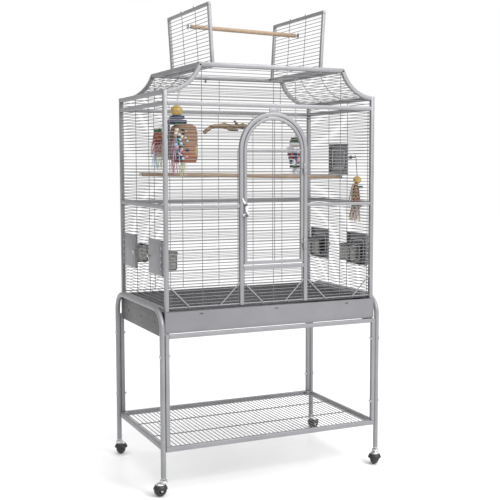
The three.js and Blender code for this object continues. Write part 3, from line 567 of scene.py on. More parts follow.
def stand_end_frames(coat):
    for side, sign in (("front", -1), ("back", 1)):
        solid = Solid()
        y = sign * LEG_Y
        foot = low(f"stand_{side}_frame").z
        for end in (-1, 1):
            x = end * UPRIGHT_X
            tube(solid, (x, y, foot), (x, y, STAND_RAIL + POST / 2), soft=1.5)
            weld(solid, (x - end * POST / 2, y, STAND_RAIL), X, POST)
        between = UPRIGHT_X - POST / 2
        tube(solid, (-between, y, STAND_RAIL), (between, y, STAND_RAIL))
        piece(f"stand_rail_{side}", solid, [coat], f"stand_{side}_frame")


def leg_bolts(steel):
    """Carriage bolts that hold the uprights to the bent legs."""
    washer = [(6.5, 0), (6.5, 1), (5.9, 1.4), (0, 1.4)]
    nut = [(4.9, 0), (5.2, 0.4), (5.2, 4.4), (4.6, 5)]
    thread = [(2.4, 4), (2.4, 7.6), (1.9, 8.2), (0, 8.2)]
    head = [(6.6, -1), (6.4, 0.4), (5.2, 2), (3, 3), (0, 3.4)]
    solid = Solid()
    for sign_x in (-1, 1):
        for sign_y in (-1, 1):
            for z in LEG_BOLT_HEIGHTS:
                inner = Vector((sign_x * (UPRIGHT_X - POST / 2), sign_y * LEG_Y, z))
                outer = Vector((sign_x * (LEG_X + LEG_R), sign_y * LEG_Y, z))
                lathe(solid, washer, inner, -sign_x * X)
                lathe(solid, nut, inner, -sign_x * X, 6)
                lathe(solid, thread, inner, -sign_x * X, 14)
                lathe(solid, head, outer, sign_x * X, 24)
    piece("leg_bolts", solid, [steel], body="root", smooth=35)


def storage_shelf(coat, thin):
    solid = Solid()
    reach = LEG_X - LEG_R - GAP
    side_x = LEG_X - 9
    side_end = LEG_Y - LEG_R - GAP
    tall = (SHELF_TALL, POST)
    for sign in (-1, 1):
        bar(solid, (-reach, sign * LEG_Y, SHELF_Z), (reach, sign * LEG_Y, SHELF_Z), tall, EDGE, 0, 1.5)
        x = sign * side_x
        bar(solid, (x, -side_end, SHELF_Z), (x, side_end, SHELF_Z), tall, EDGE, 0, 1.5)
        for end in (-1, 1):
            gusset = Solid()
            block(gusset, (0, 0, -SHELF_TALL / 2 + 1), (-24, -24, SHELF_TALL / 2 - 1), 2)
            solid.merge(gusset, Matrix.Translation((sign * reach, end * (LEG_Y - 2), SHELF_Z))
                        @ Matrix.Diagonal((sign, end, 1, 1)))
    end = LEG_Y - POST / 2 + SINK
    for x in levels(-side_x + 14, side_x - 14, 17):
        wire(solid, (x, -end, SHELF_Z + 3), (x, end, SHELF_Z + 3), 1.5)
    for y in (-LEG_Y / 3, LEG_Y / 3):
        wire(solid, (-side_x + 4, y, SHELF_Z), (side_x - 4, y, SHELF_Z), 2)
    piece("shelf_rack", solid, [coat, thin], "storage_shelf")


def caster_matrix(corner):
    """Stands a caster that is drawn trailing towards -X at its swivel."""
    stem = pivot(f"swivel_{corner}")
    axle = pivot(f"roll_{corner}")
    yaw = math.atan2(stem.y - axle.y, stem.x - axle.x)
    trail = math.hypot(stem.y - axle.y, stem.x - axle.x)
    return Matrix.Translation((stem.x, stem.y, 0)) @ Matrix.Rotation(yaw, 4, "Z"), trail, axle.z


def cheek_outline(trail, axle_z):
    """A tongue that comes down inside the hood and holds the axle."""
    half = 7
    top = axle_z + 18
    outline = [(-trail + half, top), (-trail - half, top)]
    for i in range(9):
        angle = math.pi + i * math.pi / 8
        outline.append((-trail + half * math.cos(angle), axle_z + half * math.sin(angle)))
    return outline[::-1]


def inset_outline(outline, share):
    centre_x = sum(p[0] for p in outline) / len(outline)
    centre_y = sum(p[1] for p in outline) / len(outline)
    return [(centre_x + (x - centre_x) * share, centre_y + (y - centre_y) * share) for x, y in outline]


def plate_xz(solid, outline, y_low, y_high, paint=0):
    """A plate with eased edges; its outline may run either way round."""
    ease = 0.2 * (y_high - y_low)
    rows = [(y_low, 0.97), (y_low + ease, 1), (y_high - ease, 1), (y_high, 0.97)]
    area = sum(a[0] * b[1] - b[0] * a[1] for a, b in zip(outline, outline[1:] + outline[:1]))
    ordered = outline[::-1] if area > 0 else outline
    loft(solid, [[Vector((x, y, z)) for x, z in inset_outline(ordered, share)] for y, share in rows], paint)


HOOD_GAP = 2  # from the wheel's tread to the outside of the hood
WHEEL_HALF = 15


def caster_hood(solid, trail, axle_z):
    """A moulded hood over the upper half of the wheel, with a rolled lip and a steel cap on its crown."""
    radius = axle_z + HOOD_GAP
    sheet = 1.6
    lip = math.asin(5 / radius)
    angles = [lip + (math.pi / 2 - lip) * i / 16 for i in range(17)]
    inside = [((radius - sheet) * math.cos(a), (radius - sheet) * math.sin(a)) for a in reversed(angles)]
    outside = [(radius * math.cos(a), radius * math.sin(a)) for a in angles]
    low_z = radius * math.sin(lip)
    rolled = [(radius * math.cos(lip) - sheet / 2, low_z - 1.2), (radius + 0.4, low_z - 0.6)]
    lathe(solid, inside + rolled + outside, (-trail, 0, axle_z), Z, 48, 1)
    yoke = [math.radians(a) for a in range(48, 91, 6)]
    rings = [((radius + 0.2) * math.cos(a), (radius + 0.9) * math.sin(a)) for a in yoke]
    brim = (radius * math.cos(yoke[0]), radius * math.sin(yoke[0]) - 0.8)
    lathe(solid, [brim] + rings, (-trail, 0, axle_z), Z, 48)


def caster_frame(trail, axle_z):
    solid = Solid()
    caster_hood(solid, trail, axle_z)
    inside = WHEEL_HALF + 1.2
    outside = inside + 2
    for sign in (-1, 1):
        plate_xz(solid, cheek_outline(trail, axle_z), *sorted((sign * inside, sign * outside)), 1)
        lathe(solid, [(4.6, 0), (4.6, 2.4), (4, 2.9)], (-trail, sign * outside, axle_z), sign * Y, 6)
        lathe(solid, [(2.4, 2), (2.4, 3.8), (1.6, 4.4)], (-trail, sign * outside, axle_z), sign * Y, 14)
    lathe(solid, [(2.8, -inside), (2.8, inside)], (-trail, 0, axle_z), Y, 16)
    swivel = [(7, 47), (12, 47.4), (14.2, 49), (14.6, 51.4), (13.2, 53), (13.8, 55), (12.8, 58.6), (9.6, 60.4),
              (6.6, 61), (6.4, 64.7)]
    lathe(solid, swivel, (0, 0, 0), Z, 36)
    return solid


def caster_wheel(trail, axle_z):
    """A broad, round-shouldered wheel with a recessed hub."""
    tread = [(3.4, 12), (7, 12.2), (8, 13.6), (10, 14.8), (14.4, 14.4), (18, 12.3), (21, 8.6), (23, 4.4),
             (23.8, 1.6), (24, 0)]
    profile = [(r, -h) for r, h in tread] + [(r, h) for r, h in reversed(tread[:-1])]
    turned = [set_loop(circle(r, 48), Vector((-trail, h, axle_z)), Y, Z)[0] for r, h in profile]
    solid = Solid()
    loft(solid, turned, 0, True)
    return solid


def casters(zinc, tyre):
    for corner in ("front_left", "front_right", "back_right", "back_left"):
        place, trail, axle_z = caster_matrix(corner)
        frame_part = Solid()
        frame_part.merge(caster_frame(trail, axle_z), place)
        piece(f"caster_housing_{corner}", frame_part, [zinc, tyre], f"caster_fork_{corner}", smooth=35)
        wheel = Solid()
        wheel.merge(caster_wheel(trail, axle_z), place)
        piece(f"caster_tyre_{corner}", wheel, [tyre], f"caster_wheel_{corner}", smooth=35)


# ---- base ----
def tray_runners(coat):
    # The coat passed in is the darkened copy of the silver coat, which paints shade onto the runners.
    for side, sign in (("left", -1), ("right", 1)):
        lo, hi = box(f"tray_runner_{side}")
        outside = sign * (UPRIGHT_X + POST / 2)
        solid = Solid()
        sheet = 2
        gap_y = HALF_D - POST / 2 - GAP
        block(solid, (outside - sign * sheet, -gap_y, lo.z), (outside, gap_y, hi.z), 0.7)
        ledge_z = low("tray").z - 0.3
        ledge = 32
        block(solid, (outside - sign * ledge, -gap_y, ledge_z - sheet), (outside, gap_y, ledge_z), 0.7)
        screw_z = 610
        for y in (-160, 0, 160):
            lathe(solid, [(4.5, -0.4), (4.5, 0.3), (3.6, 1.2), (0, 1.6)], (outside, y, screw_z), sign * X, 20)
        piece(f"tray_runner_rail_{side}", solid, [coat], f"tray_runner_{side}")


def back_skirt(coat):
    lo, hi = box("back_skirt")
    solid = Solid()
    block(solid, (lo.x, hi.y - 2, lo.z), (hi.x, hi.y, hi.z), 0.8)
    block(solid, (lo.x, lo.y, hi.z - 2), (hi.x, hi.y, hi.z), 0.8)
    block(solid, (lo.x, lo.y + 2, lo.z), (hi.x, hi.y, lo.z + 2), 0.8)
    piece("back_skirt_panel", solid, [coat], "back_skirt")


def tray(coat, dark):
    """A folded pan with a smooth front plate that has three oval finger marks, whose hollows are painted dark
    as painted shade.
    """
    lo, hi = box("tray")
    solid = Solid()
    sheet = 1.6
    half_x = 404
    half_y = 252
    floor = 588
    rim = 646
    block(solid, (-half_x, -half_y, floor), (half_x, half_y, floor + sheet), 0.6)
    for sign in (-1, 1):
        block(solid, (sign * half_x, -half_y, floor), (sign * (half_x - sheet), half_y, rim - 2), 0.6)
        block(solid, (-half_x, sign * half_y, floor), (half_x, sign * (half_y - sheet), rim - 2), 0.6)
    hem = [(sx * (half_x - 2), sy * (half_y - 2)) for sx, sy in ((1, 1), (-1, 1), (-1, -1), (1, -1))]
    for (ax, ay), (bx, by) in zip(hem, hem[1:] + hem[:1]):
        wire(solid, (ax, ay, rim - 2), (bx, by, rim - 2), 2, 12, 0)
    front = lo.y
    block(solid, (lo.x, front, lo.z), (hi.x, front + sheet, hi.z), 0.8)
    block(solid, (lo.x, front, hi.z - 2.4), (hi.x, front + 3.4, hi.z), 1)
    block(solid, (lo.x, front, lo.z), (hi.x, front + 3.4, lo.z + 2), 0.9)
    block(solid, (-half_x + 4, front + 1, rim - 12), (half_x - 4, -half_y + 1, rim - 10), 0.8)
    mark_radius = 8
    mark_z = 649
    # Each finger mark takes paint 1, the dark material: painted shade in the mark's hollow.
    for x in (-292, 6, 308):
        loops = []
        for share, depth in ((1.0, 0.4), (1.0, -0.25), (0.82, -0.4), (0.7, -0.1), (0.0, 0.0)):
            outline = circle(mark_radius * max(share, 0.02), 32, 0.42)
            loops.append([Vector((x + u, front + depth, mark_z + v)) for u, v in outline])
        loft(solid, loops, 1)
    piece("tray_pan", solid, [coat, dark], "tray")


def floor_grate(coat, thin):
    lo, hi = box("floor_grate")
    z = (lo.z + hi.z) / 2
    rim = (hi.z - lo.z) / 2
    solid = Solid()
    half_x = hi.x - rim
    half_y = hi.y - rim
    corners = [(half_x, half_y), (-half_x, half_y), (-half_x, -half_y), (half_x, -half_y)]
    for (ax, ay), (bx, by) in zip(corners, corners[1:] + corners[:1]):
        wire(solid, (ax, ay, z), (bx, by, z), rim, 14, 0)
        lathe(solid, [(rim, -rim), (rim, rim)], (ax, ay, z), Z, 14)
    for x in levels(-half_x + 10, half_x - 10, 12.5):
        wire(solid, (x, -half_y, z + 0.6), (x, half_y, z + 0.6), 1.3)
    for y in (-half_y / 2, 0, half_y / 2):
        wire(solid, (-half_x, y, z - 1), (half_x, y, z - 1), 1.5)
    piece("floor_grate_rack", solid, [coat, thin], "floor_grate")


def grate_rails(coat):
    """Folded angles inside the side walls that carry the grate."""
    for side, sign in (("left", -1), ("right", 1)):
        lo, hi = box(f"grate_rail_{side}")
        sheet = 2
        outer = sign * max(abs(lo.x), abs(hi.x))
        inner = sign * min(abs(lo.x), abs(hi.x))
        solid = Solid()
        block(solid, (inner, lo.y, hi.z - sheet), (outer, hi.y, hi.z), 0.7)
        block(solid, (outer - sign * sheet, lo.y, lo.z), (outer, hi.y, hi.z - 0.4), 0.7)
        piece(f"grate_ledge_{side}", solid, [coat], f"grate_rail_{side}")


# ---- front ----
def stile_edge(z):
    """Where a front wire meets the door's fixed frame at a height."""
    outside = STILE_X + POST / 2 - SINK
    rise = z - SPRING
    if rise <= 0:
        return outside
    return max(math.sqrt(max(outside * outside - rise * rise, 0)), 18)


BRACE_R = 2.6


def brace(solid, x, direction, y):
    """A 45 degree wire from an upright down to the panel's foot."""
    reach = 80
    foot = PANEL_FOOT - 4
    wire(solid, (x, y, foot + reach), (x + direction * reach, y, foot), BRACE_R, 10, 0)


def front_grille(coat, thin, side, sign):
    solid = Solid()
    y = -HALF_D
    x_post = sign * HALF_W
    tube(solid, (x_post, y, POST_FOOT), (x_post, y, EAVES + POST / 2), soft=1.5)
    stile = sign * (STILE_X + POST / 2)
    tube(solid, (x_post, y, MID_RAIL), (stile, y, MID_RAIL), THIN)
    weld(solid, (x_post - sign * POST / 2, y, MID_RAIL), X, THIN)
    weld(solid, (stile, y, MID_RAIL), X, THIN)
    bar(solid, (x_post, y, PANEL_FOOT - 2), (stile, y, PANEL_FOOT - 2), (4, 8), 1.2)
    for z in WALL_WIRES:
        wire(solid, (sign * (HALF_W - POST / 2 + SINK), y - WIRE, z), (sign * stile_edge(z), y - WIRE, z))
    for x in (sign * 282, x_post - sign * (POST / 2 + 9), stile + sign * 5):
        top = SPRING if abs(x) < 200 else HIGH_RAIL
        wire(solid, (x, y + WIRE, PANEL_FOOT), (x, y + WIRE, top))
    brace(solid, x_post - sign * POST / 2, -sign, y - BRACE_R - 2 * WIRE)
    brace(solid, stile, sign, y - BRACE_R - 2 * WIRE)
    piece(f"front_panel_{side}", solid, [coat, thin], f"front_grille_{side}")


def arch_path(half_width, foot, y, steps=40):
    path = [Vector((half_width, y, foot)), Vector((half_width, y, SPRING - 30))]
    for i in range(steps + 1):
        angle = math.pi * i / steps
        path.append(Vector((half_width * math.cos(angle), y, SPRING + half_width * math.sin(angle))))
    return path + [Vector((-half_width, y, SPRING - 30)), Vector((-half_width, y, foot))]


def door_frame(coat):
    solid = Solid()
    y = -HALF_D
    foot = low("door_frame").z
    sweep(solid, arch_path(STILE_X, foot, y), rounded(POST, POST, EDGE), Y)
    between = STILE_X - POST / 2
    tube(solid, (-between, y, SILL), (between, y, SILL))
    for sign in (-1, 1):
        weld(solid, (sign * between, y, SILL), X, POST)
    plate_low = SPRING + STILE_X + 2
    plate_high = HIGH_RAIL - POST / 2 + 0.5
    face = y - POST / 2
    block(solid, (-20, face + 0.5, plate_low), (20, face + 3, plate_high), 0.8)
    latch_z = pivot("latch_turn").z
    block(solid, (-STILE_X - 5, face - 1.5, latch_z - 16), (-STILE_X + 5, face + 0.5, latch_z + 12), 0.7)
    piece("door_arch_frame", solid, [coat], "door_frame")


def lower_grille(coat, thin):
    solid = Solid()
    y = -HALF_D
    reach = STILE_X - POST / 2
    top = SILL - POST / 2
    bar(solid, (-reach, y, PANEL_FOOT - 2), (reach, y, PANEL_FOOT - 2), (4, 8), 1.2)
    for z in WALL_WIRES:
        if z < top - 3:
            wire(solid, (-reach - SINK, y - WIRE, z), (reach + SINK, y - WIRE, z))
    for x in (-reach + 5, 0, reach - 5):
        wire(solid, (x, y + WIRE, PANEL_FOOT), (x, y + WIRE, top + SINK))
    for sign in (-1, 1):
        brace(solid, sign * reach, -sign, y - BRACE_R - 2 * WIRE)
    piece("front_panel_lower", solid, [coat, thin], "front_grille_lower")


# ---- roof ----
def shoulder(angle):
    return (SHOULDER_X - SHOULDER_R * math.sin(angle), EAVES + SHOULDER_R * (1 - math.cos(angle)))


def shoulder_path(sign, y, start, end, steps=24):
    points = [shoulder(start + (end - start) * i / steps) for i in range(steps + 1)]
    return [Vector((sign * x, y, z)) for x, z in points]


def shoulder_x(z):
    return SHOULDER_X - SHOULDER_R * math.sin(math.acos(1 - (z - EAVES) / SHOULDER_R))


def gable(coat, thin, side, sign):
    solid = Solid()
    y = sign * HALF_D
    first = math.asin(POST * 0.9 / SHOULDER_R)
    for end in (-1, 1):
        sweep(solid, shoulder_path(end, y, first, SHOULDER_TURN), rounded(POST, POST, EDGE), Y)
    between = HALF_W - POST / 2
    tube(solid, (-between, y, HIGH_RAIL), (between, y, HIGH_RAIL))
    tube(solid, (-RING_X - POST / 2 + 2, y, RING_Z), (RING_X + POST / 2 - 2, y, RING_Z), soft=1.5)
    for z in levels(HIGH_RAIL + POST / 2 + 8, RING_Z - POST / 2 - 6):
        reach = HALF_W - POST / 2 + SINK if z < EAVES + POST / 2 else shoulder_x(z) - 3
        wire(solid, (-reach, y + sign * WIRE, z), (reach, y + sign * WIRE, z))
    for x in (-282, 0, 282):
        wire(solid, (x, y - sign * WIRE, HIGH_RAIL), (x, y - sign * WIRE, RING_Z))
    if sign > 0:
        hanger = [(3, 0), (3, 4), (6, 5), (6.5, 8), (5, 11), (0, 12)]
        lathe(solid, hanger, (-60, y, RING_Z - POST / 2), -Z, 24)
    piece(f"{side}_gable_panel", solid, [coat, thin], f"{side}_gable")


def roof_ring(coat, thin):
    solid = Solid()
    reach = HALF_D - POST / 2
    for sign in (-1, 1):
        tube(solid, (sign * RING_X, -reach, RING_Z), (sign * RING_X, reach, RING_Z))
        tube(solid, (sign * CROSS_RAIL_X, -reach, RING_Z), (sign * CROSS_RAIL_X, reach, RING_Z), THIN)
        tube(solid, (-RING_X, sign * STRIP_RAIL_Y, RING_Z), (RING_X, sign * STRIP_RAIL_Y, RING_Z), THIN)
        for end in (-1, 1):
            weld(solid, (sign * RING_X, end * reach, RING_Z), Y, POST)
            weld(solid, (sign * CROSS_RAIL_X, end * reach, RING_Z), Y, THIN)
        middle = sign * (STRIP_RAIL_Y + reach) / 2
        for x in levels(-RING_X + 12, RING_X - 12):
            wire(solid, (x, sign * STRIP_RAIL_Y, RING_Z), (x, sign * (reach + SINK), RING_Z))
        wire(solid, (-RING_X, middle, RING_Z + 2 * WIRE), (RING_X, middle, RING_Z + 2 * WIRE))
        inner = CROSS_RAIL_X + THIN / 2
        outer = RING_X - POST / 2
        for x in levels(inner + 8, outer - 8):
            wire(solid, (sign * x, -STRIP_RAIL_Y, RING_Z), (sign * x, STRIP_RAIL_Y, RING_Z))
        for y in (-75, 75):
            z = RING_Z - 2 * WIRE
            wire(solid, (sign * (inner - SINK), y, z), (sign * (outer + SINK), y, z))
    piece("roof_ring_frame", solid, [coat, thin], "roof_ring")


def roof_slopes(coat, thin):
    for side, sign in (("left", -1), ("right", 1)):
        solid = Solid()
        for y in (-84, 84):
            sweep(solid, shoulder_path(sign, y, 0.04, SHOULDER_TURN), circle(WIRE, 8), Y, 1)
        turn = PITCH / SHOULDER_R
        for angle in levels(0.13, SHOULDER_TURN - 0.07, turn):
            x, z = shoulder(angle)
            lift = Vector((math.sin(angle) * sign, 0, math.cos(angle))) * 2 * WIRE
            reach = HALF_D - POST / 2 + SINK
            wire(solid, Vector((sign * x, -reach, z)) + lift, Vector((sign * x, reach, z)) + lift)
        piece(f"roof_slope_panel_{side}", solid, [coat, thin], f"roof_slope_{side}")


def flap_matrix(sign):
    """Leans a flap, drawn upright, outward about its hinge line."""
    hinge = Vector((sign * FLAP_X, 0, FLAP_FOOT))
    return Matrix.Translation(hinge) @ Matrix.Rotation(sign * FLAP_LEAN, 4, "Y") @ Matrix.Translation(-hinge)


def roof_flaps(coat, thin, steel):
    for side, sign in (("left", -1), ("right", 1)):
        solid = Solid()
        x = sign * FLAP_X
        half = THIN / 2
        for z in (FLAP_FOOT, FLAP_TOP):
            tube(solid, (x, -FLAP_D - half, z), (x, FLAP_D + half, z), THIN, 1.5)
        for end in (-1, 1):
            tube(solid, (x, end * FLAP_D, FLAP_FOOT + half), (x, end * FLAP_D, FLAP_TOP - half), THIN)
            for z in (FLAP_FOOT + half, FLAP_TOP - half):
                weld(solid, (x, end * FLAP_D, z), Z, THIN)
            lathe(solid, [(3, 0), (3, 6.6), (2.4, 7.2)], (x, end * (FLAP_D + 2), FLAP_FOOT), end * Y, 16, 2)
            tab_low = (x - 3, end * 60, FLAP_TOP + half - 1)
            block(solid, tab_low, (x + 3, end * 72, FLAP_TOP + half + 6), 1.5, 2)
        for z in levels(FLAP_FOOT + half + 12, FLAP_TOP - half - 10, 14):
            wire(solid, (x + sign * WIRE, -FLAP_D, z), (x + sign * WIRE, FLAP_D, z))
        for y in (-FLAP_D / 3, FLAP_D / 3):
            wire(solid, (x - sign * WIRE, y, FLAP_FOOT), (x - sign * WIRE, y, FLAP_TOP))
        leaning = Solid()
        leaning.merge(solid, flap_matrix(sign))
        piece(f"roof_flap_panel_{side}", leaning, [coat, thin, steel], f"roof_flap_{side}")


# ---- back and sides ----
def back_grille(coat, thin):
    solid = Solid()
    y = HALF_D
    for sign in (-1, 1):
        tube(solid, (sign * HALF_W, y, POST_FOOT), (sign * HALF_W, y, EAVES + POST / 2), soft=1.5)
        weld(solid, (sign * (HALF_W - POST / 2), y, MID_RAIL), X, POST)
    between = HALF_W - POST / 2
    tube(solid, (-between, y, MID_RAIL), (between, y, MID_RAIL))
    bar(solid, (-HALF_W, y, PANEL_FOOT - 2), (HALF_W, y, PANEL_FOOT - 2), (4, 8), 1.2)
    reach = HALF_W - POST / 2 + SINK
    for z in WALL_WIRES:
        wire(solid, (-reach, y + WIRE, z), (reach, y + WIRE, z))
    for x in (-286, -165, -5, 153, 290):
        wire(solid, (x, y - WIRE, PANEL_FOOT), (x, y - WIRE, HIGH_RAIL))
    piece("back_panel", solid, [coat, thin], "back_grille")


def opening_frame(solid, x, y, z, tall):
    bar_size = 5
    depth = 8
    for end in (-1, 1):
        side = y + end * (FEEDER_HALF - bar_size / 2)
        level = z + end * (tall - bar_size / 2)
        near, far = x - depth / 2, x + depth / 2
        block(solid, (near, side - bar_size / 2, z - tall), (far, side + bar_size / 2, z + tall))
        under, over = level - bar_size / 2, level + bar_size / 2
        block(solid, (near, y - FEEDER_HALF, under), (far, y + FEEDER_HALF, over))


def wire_runs(z, openings, reach):
    """The stretches of a side wire that are left between the openings at a height."""
    runs = []
    start = -reach
    for y, middle, tall in sorted(openings):
        if abs(z - middle) > tall + WIRE:
            continue
        runs.append((start, y - FEEDER_HALF + SINK))
        start = y + FEEDER_HALF - SINK
    return runs + [(start, reach)]


def side_wall(coat, thin, side, sign, openings):
    solid = Solid()
    x = sign * HALF_W
    reach = HALF_D - POST / 2
    for z in (WALL_FOOT, MID_RAIL, HIGH_RAIL, EAVES):
        tube(solid, (x, -reach, z), (x, reach, z))
        for end in (-1, 1):
            weld(solid, (x, end * reach, z), Y, POST)
    for y, z, tall in openings:
        opening_frame(solid, x, y, z, tall)
    heights = levels(WALL_FOOT + POST / 2 + 8, EAVES - POST / 2 - 7)
    for z in clear_of(clear_of(heights, MID_RAIL, POST / 2 + WIRE), HIGH_RAIL, POST / 2 + WIRE):
        for start, end in wire_runs(z, openings, reach + SINK):
            wire(solid, (x + sign * WIRE, start, z), (x + sign * WIRE, end, z))
    for y in (-77, 77):
        wire(solid, (x - sign * WIRE, y, WALL_FOOT), (x - sign * WIRE, y, EAVES))
    piece(f"side_panel_{side}", solid, [coat, thin], f"side_wall_{side}")


# ---- feeder doors and cups, drawn along +X from their hinge with +Y into the cage ----
SKIN = 2
LEAF_INSET = 8
LEAF_LONG = 2 * FEEDER_HALF - 6
CUP_LONG = 98
CUP_DEEP = 60
CUP_TALL = 66
CUP_SHIFT = 14
CUP_RIM = high("feeder_cup_left_front").z


def wall_matrix(joint, sign, direction):
    hinge = pivot(joint)
    inside = abs(hinge.x) - SKIN - 1 - LEAF_INSET
    rows = ((0, -sign, 0, sign * inside), (direction, 0, 0, hinge.y), (0, 0, 1, 0), (0, 0, 0, 1))
    return Matrix(rows)


def leaf(z, tall):
    """A pressed door: a flat sheet with folded edges, a raised field, its hinge rod and a turning knob."""
    solid = Solid()
    outer = -LEAF_INSET - SKIN
    block(solid, (1, outer, z - tall + 1), (LEAF_LONG, -LEAF_INSET, z + tall - 1), 0.8)
    block(solid, (14, outer - 1.2, z - tall + 14), (LEAF_LONG - 16, outer + 1, z + tall - 14), 1.1)
    wire(solid, (0, outer - 1, z - tall + 6), (0, outer - 1, z + tall - 6), 1.5, 12, 1)
    for i in range(5):
        middle = z + (i - 2) * (tall - 8) / 2.3
        lathe(solid, [(2.3, -8), (2.5, -7.6), (2.5, 7.6), (2.3, 8)], (0, outer - 1, middle), Z, 16)
        block(solid, (0, outer - 1.4, middle - 7), (7, outer + 0.6, middle + 7), 0.5)
    knob = (LEAF_LONG - 8, outer, z)
    turned_knob = [(4.5, -0.5), (4.5, 2), (3, 2.6), (3, 4), (5.5, 5), (6, 6.4), (4.5, 7.6), (0, 8)]
    lathe(solid, turned_knob, knob, -Y, 24, 1)
    block(solid, (LEAF_LONG - 10, outer - 2.6, z - 14), (LEAF_LONG - 5.5, outer - 0.6, z + 5), 0.9, 1)
    bracket(solid, z)
    return solid


def bracket(solid, z):
    """A bright wire loop on the inside of a leaf, held off the sheet by four short posts."""
    middle = LEAF_LONG / 2
    stand_off = -LEAF_INSET + 2.6
    loop = [Vector((middle + u, stand_off, z + v)) for u, v in rounded(96, 72, 8, 4)]
    sweep(solid, loop, circle(2.4, 10), Y, 2, True)
    for u in (-48, 48):
        for v in (-20, 20):
            wire(solid, (middle + u, -LEAF_INSET - 0.5, z + v), (middle + u, stand_off, z + v), 2, 10, 2)


def outline_at(long, deep, radius, centre, z, steps=6):
    return [Vector((centre[0] + u, centre[1] + v, z)) for u, v in rounded(long, deep, radius, steps)]


CUP_CENTRE = (CUP_SHIFT + CUP_LONG / 2, CUP_DEEP / 2)


def cup_ring():
    solid = Solid()
    z = CUP_RIM - 6
    path = outline_at(CUP_LONG + 5.4, CUP_DEEP + 5.4, 18, CUP_CENTRE, z)
    sweep(solid, path, circle(1.9, 10), Z, 0, True)
    for x in (CUP_SHIFT + 14, CUP_SHIFT + CUP_LONG - 14):
        wire(solid, (x, -LEAF_INSET - 0.5, z), (x, -1.5, z), 1.9, 10, 0)
    return solid


def cup():
    """A pressed steel cup with a rolled rim and a rounded foot."""
    rows = []
    for i in range(6):
        angle = math.pi / 2 * i / 5
        rows.append((7 * (1 - math.sin(angle)), CUP_RIM - CUP_TALL + 7 * (1 - math.cos(angle))))
    rows += [(0, CUP_RIM - 6), (-0.4, CUP_RIM - 3)]
    for i in range(7):
        angle = math.radians(-110 + i * 40)
        rows.append((-1.4 - 1.5 * math.cos(angle), CUP_RIM - 1.5 + 1.5 * math.sin(angle)))
    wall = 1
    rows += [(wall, CUP_RIM - 4), (wall, CUP_RIM - CUP_TALL + 9), (4, CUP_RIM - CUP_TALL + 2.5),
             (9, CUP_RIM - CUP_TALL + wall)]
    loops = [outline_at(CUP_LONG - 2 * i, CUP_DEEP - 2 * i, max(16 - i, 4), CUP_CENTRE, z) for i, z in rows]
    solid = Solid()
    loft(solid, loops)
    return solid


def feeders(coat, steel, bright, cup_steel):
    places = (("left_front", -1, -1), ("left_back", -1, 1), ("right_front", 1, -1), ("right_back", 1, 1))
    for place, sign, end in places:
        matrix = wall_matrix(f"feeder_hinge_{place}", sign, -end)
        door = leaf(FEEDER_Z, FEEDER_TALL)
        door.merge(cup_ring())
        solid = Solid()
        solid.merge(door, matrix)
        piece(f"feeder_leaf_{place}", solid, [coat, steel, bright], f"feeder_door_{place}", smooth=40)
        bowl = Solid()
        bowl.merge(cup(), matrix)
        piece(f"steel_cup_{place}", bowl, [cup_steel], f"feeder_cup_{place}", smooth=40)
    hatch = Solid()
    hatch.merge(leaf(HATCH_Z, HATCH_TALL), wall_matrix("hatch_hinge", 1, -1))
    piece("side_hatch_leaf", hatch, [coat, steel, bright], "side_hatch", smooth=40)


# ---- door ----
def front_door(coat, thin):
    solid = Solid()
    y = DOOR_Y
    sweep(solid, arch_path(DOOR_X, DOOR_FOOT + THIN / 2, y), rounded(THIN, THIN, EDGE), Y)
    tube(solid, (-DOOR_X - THIN / 2, y, DOOR_FOOT), (DOOR_X + THIN / 2, y, DOOR_FOOT), THIN, 1.5)
    bar(solid, (-DOOR_X, y, SPRING), (DOOR_X, y, SPRING), (6, THIN - 2), 1.5)
    inside = DOOR_X - THIN / 2 + SINK
    for z in clear_of(levels(DOOR_FOOT + THIN / 2 + 8, SPRING + 106), SPRING, 4 + WIRE):
        rise = max(z - SPRING, 0)
        reach = math.sqrt(inside * inside - rise * rise)
        wire(solid, (-reach, y - WIRE, z), (reach, y - WIRE, z))
    for x in (-4, 4):
        wire(solid, (x, y + WIRE, DOOR_FOOT), (x, y + WIRE, SPRING + DOOR_X))
    for node in ("door_hinge_lower", "door_hinge_upper"):
        pin = box(node)
        x = pivot("door_hinge")[0]
        hinge_y = pivot("door_hinge")[1]
        start = pin[1].z - 20
        lathe(solid, [(4.2, 0), (4.6, 0.5), (4.6, 15.5), (4.2, 16)], (x, hinge_y, start), Z, 24)
        block(solid, (x - 13, hinge_y + 1.6, start + 1), (x - 3, hinge_y + 6, start + 15), 0.8)
    piece("arched_door", solid, [coat, thin], "front_door")


def door_hinges(coat, steel):
    x, y, _ = pivot("door_hinge")
    for place in ("lower", "upper"):
        lo, hi = box(f"door_hinge_{place}")
        start = hi.z - 20
        solid = Solid()
        foot = lo.z - start
        lathe(solid, [(4.2, foot), (4.6, foot + 0.5), (4.6, -0.8), (4.2, -0.3)], (x, y, start), Z, 24)
        lathe(solid, [(2.2, -2), (2.2, 19), (1.7, 20)], (x, y, start), Z, 16, 1)
        lathe(solid, [(3.4, 16.4), (3.6, 17), (3.2, 18.6), (0, 19.4)], (x, y, start), Z, 20, 1)
        block(solid, (x + 1, hi.y - 2.2, lo.z), (hi.x, hi.y + 0.4, start - GAP), 0.7)
        piece(f"door_hinge_barrel_{place}", solid, [coat, steel], f"door_hinge_{place}", smooth=40)


LATCH_SPINE = [(-14, 24), (-10, 13), (-3, 4), (2, -3), (2.5, -14), (3, -24), (7, -33), (9.5, -41)]
LATCH_WIDTH = [5, 7, 9, 11, 12, 8.5, 6.5, 6.5]


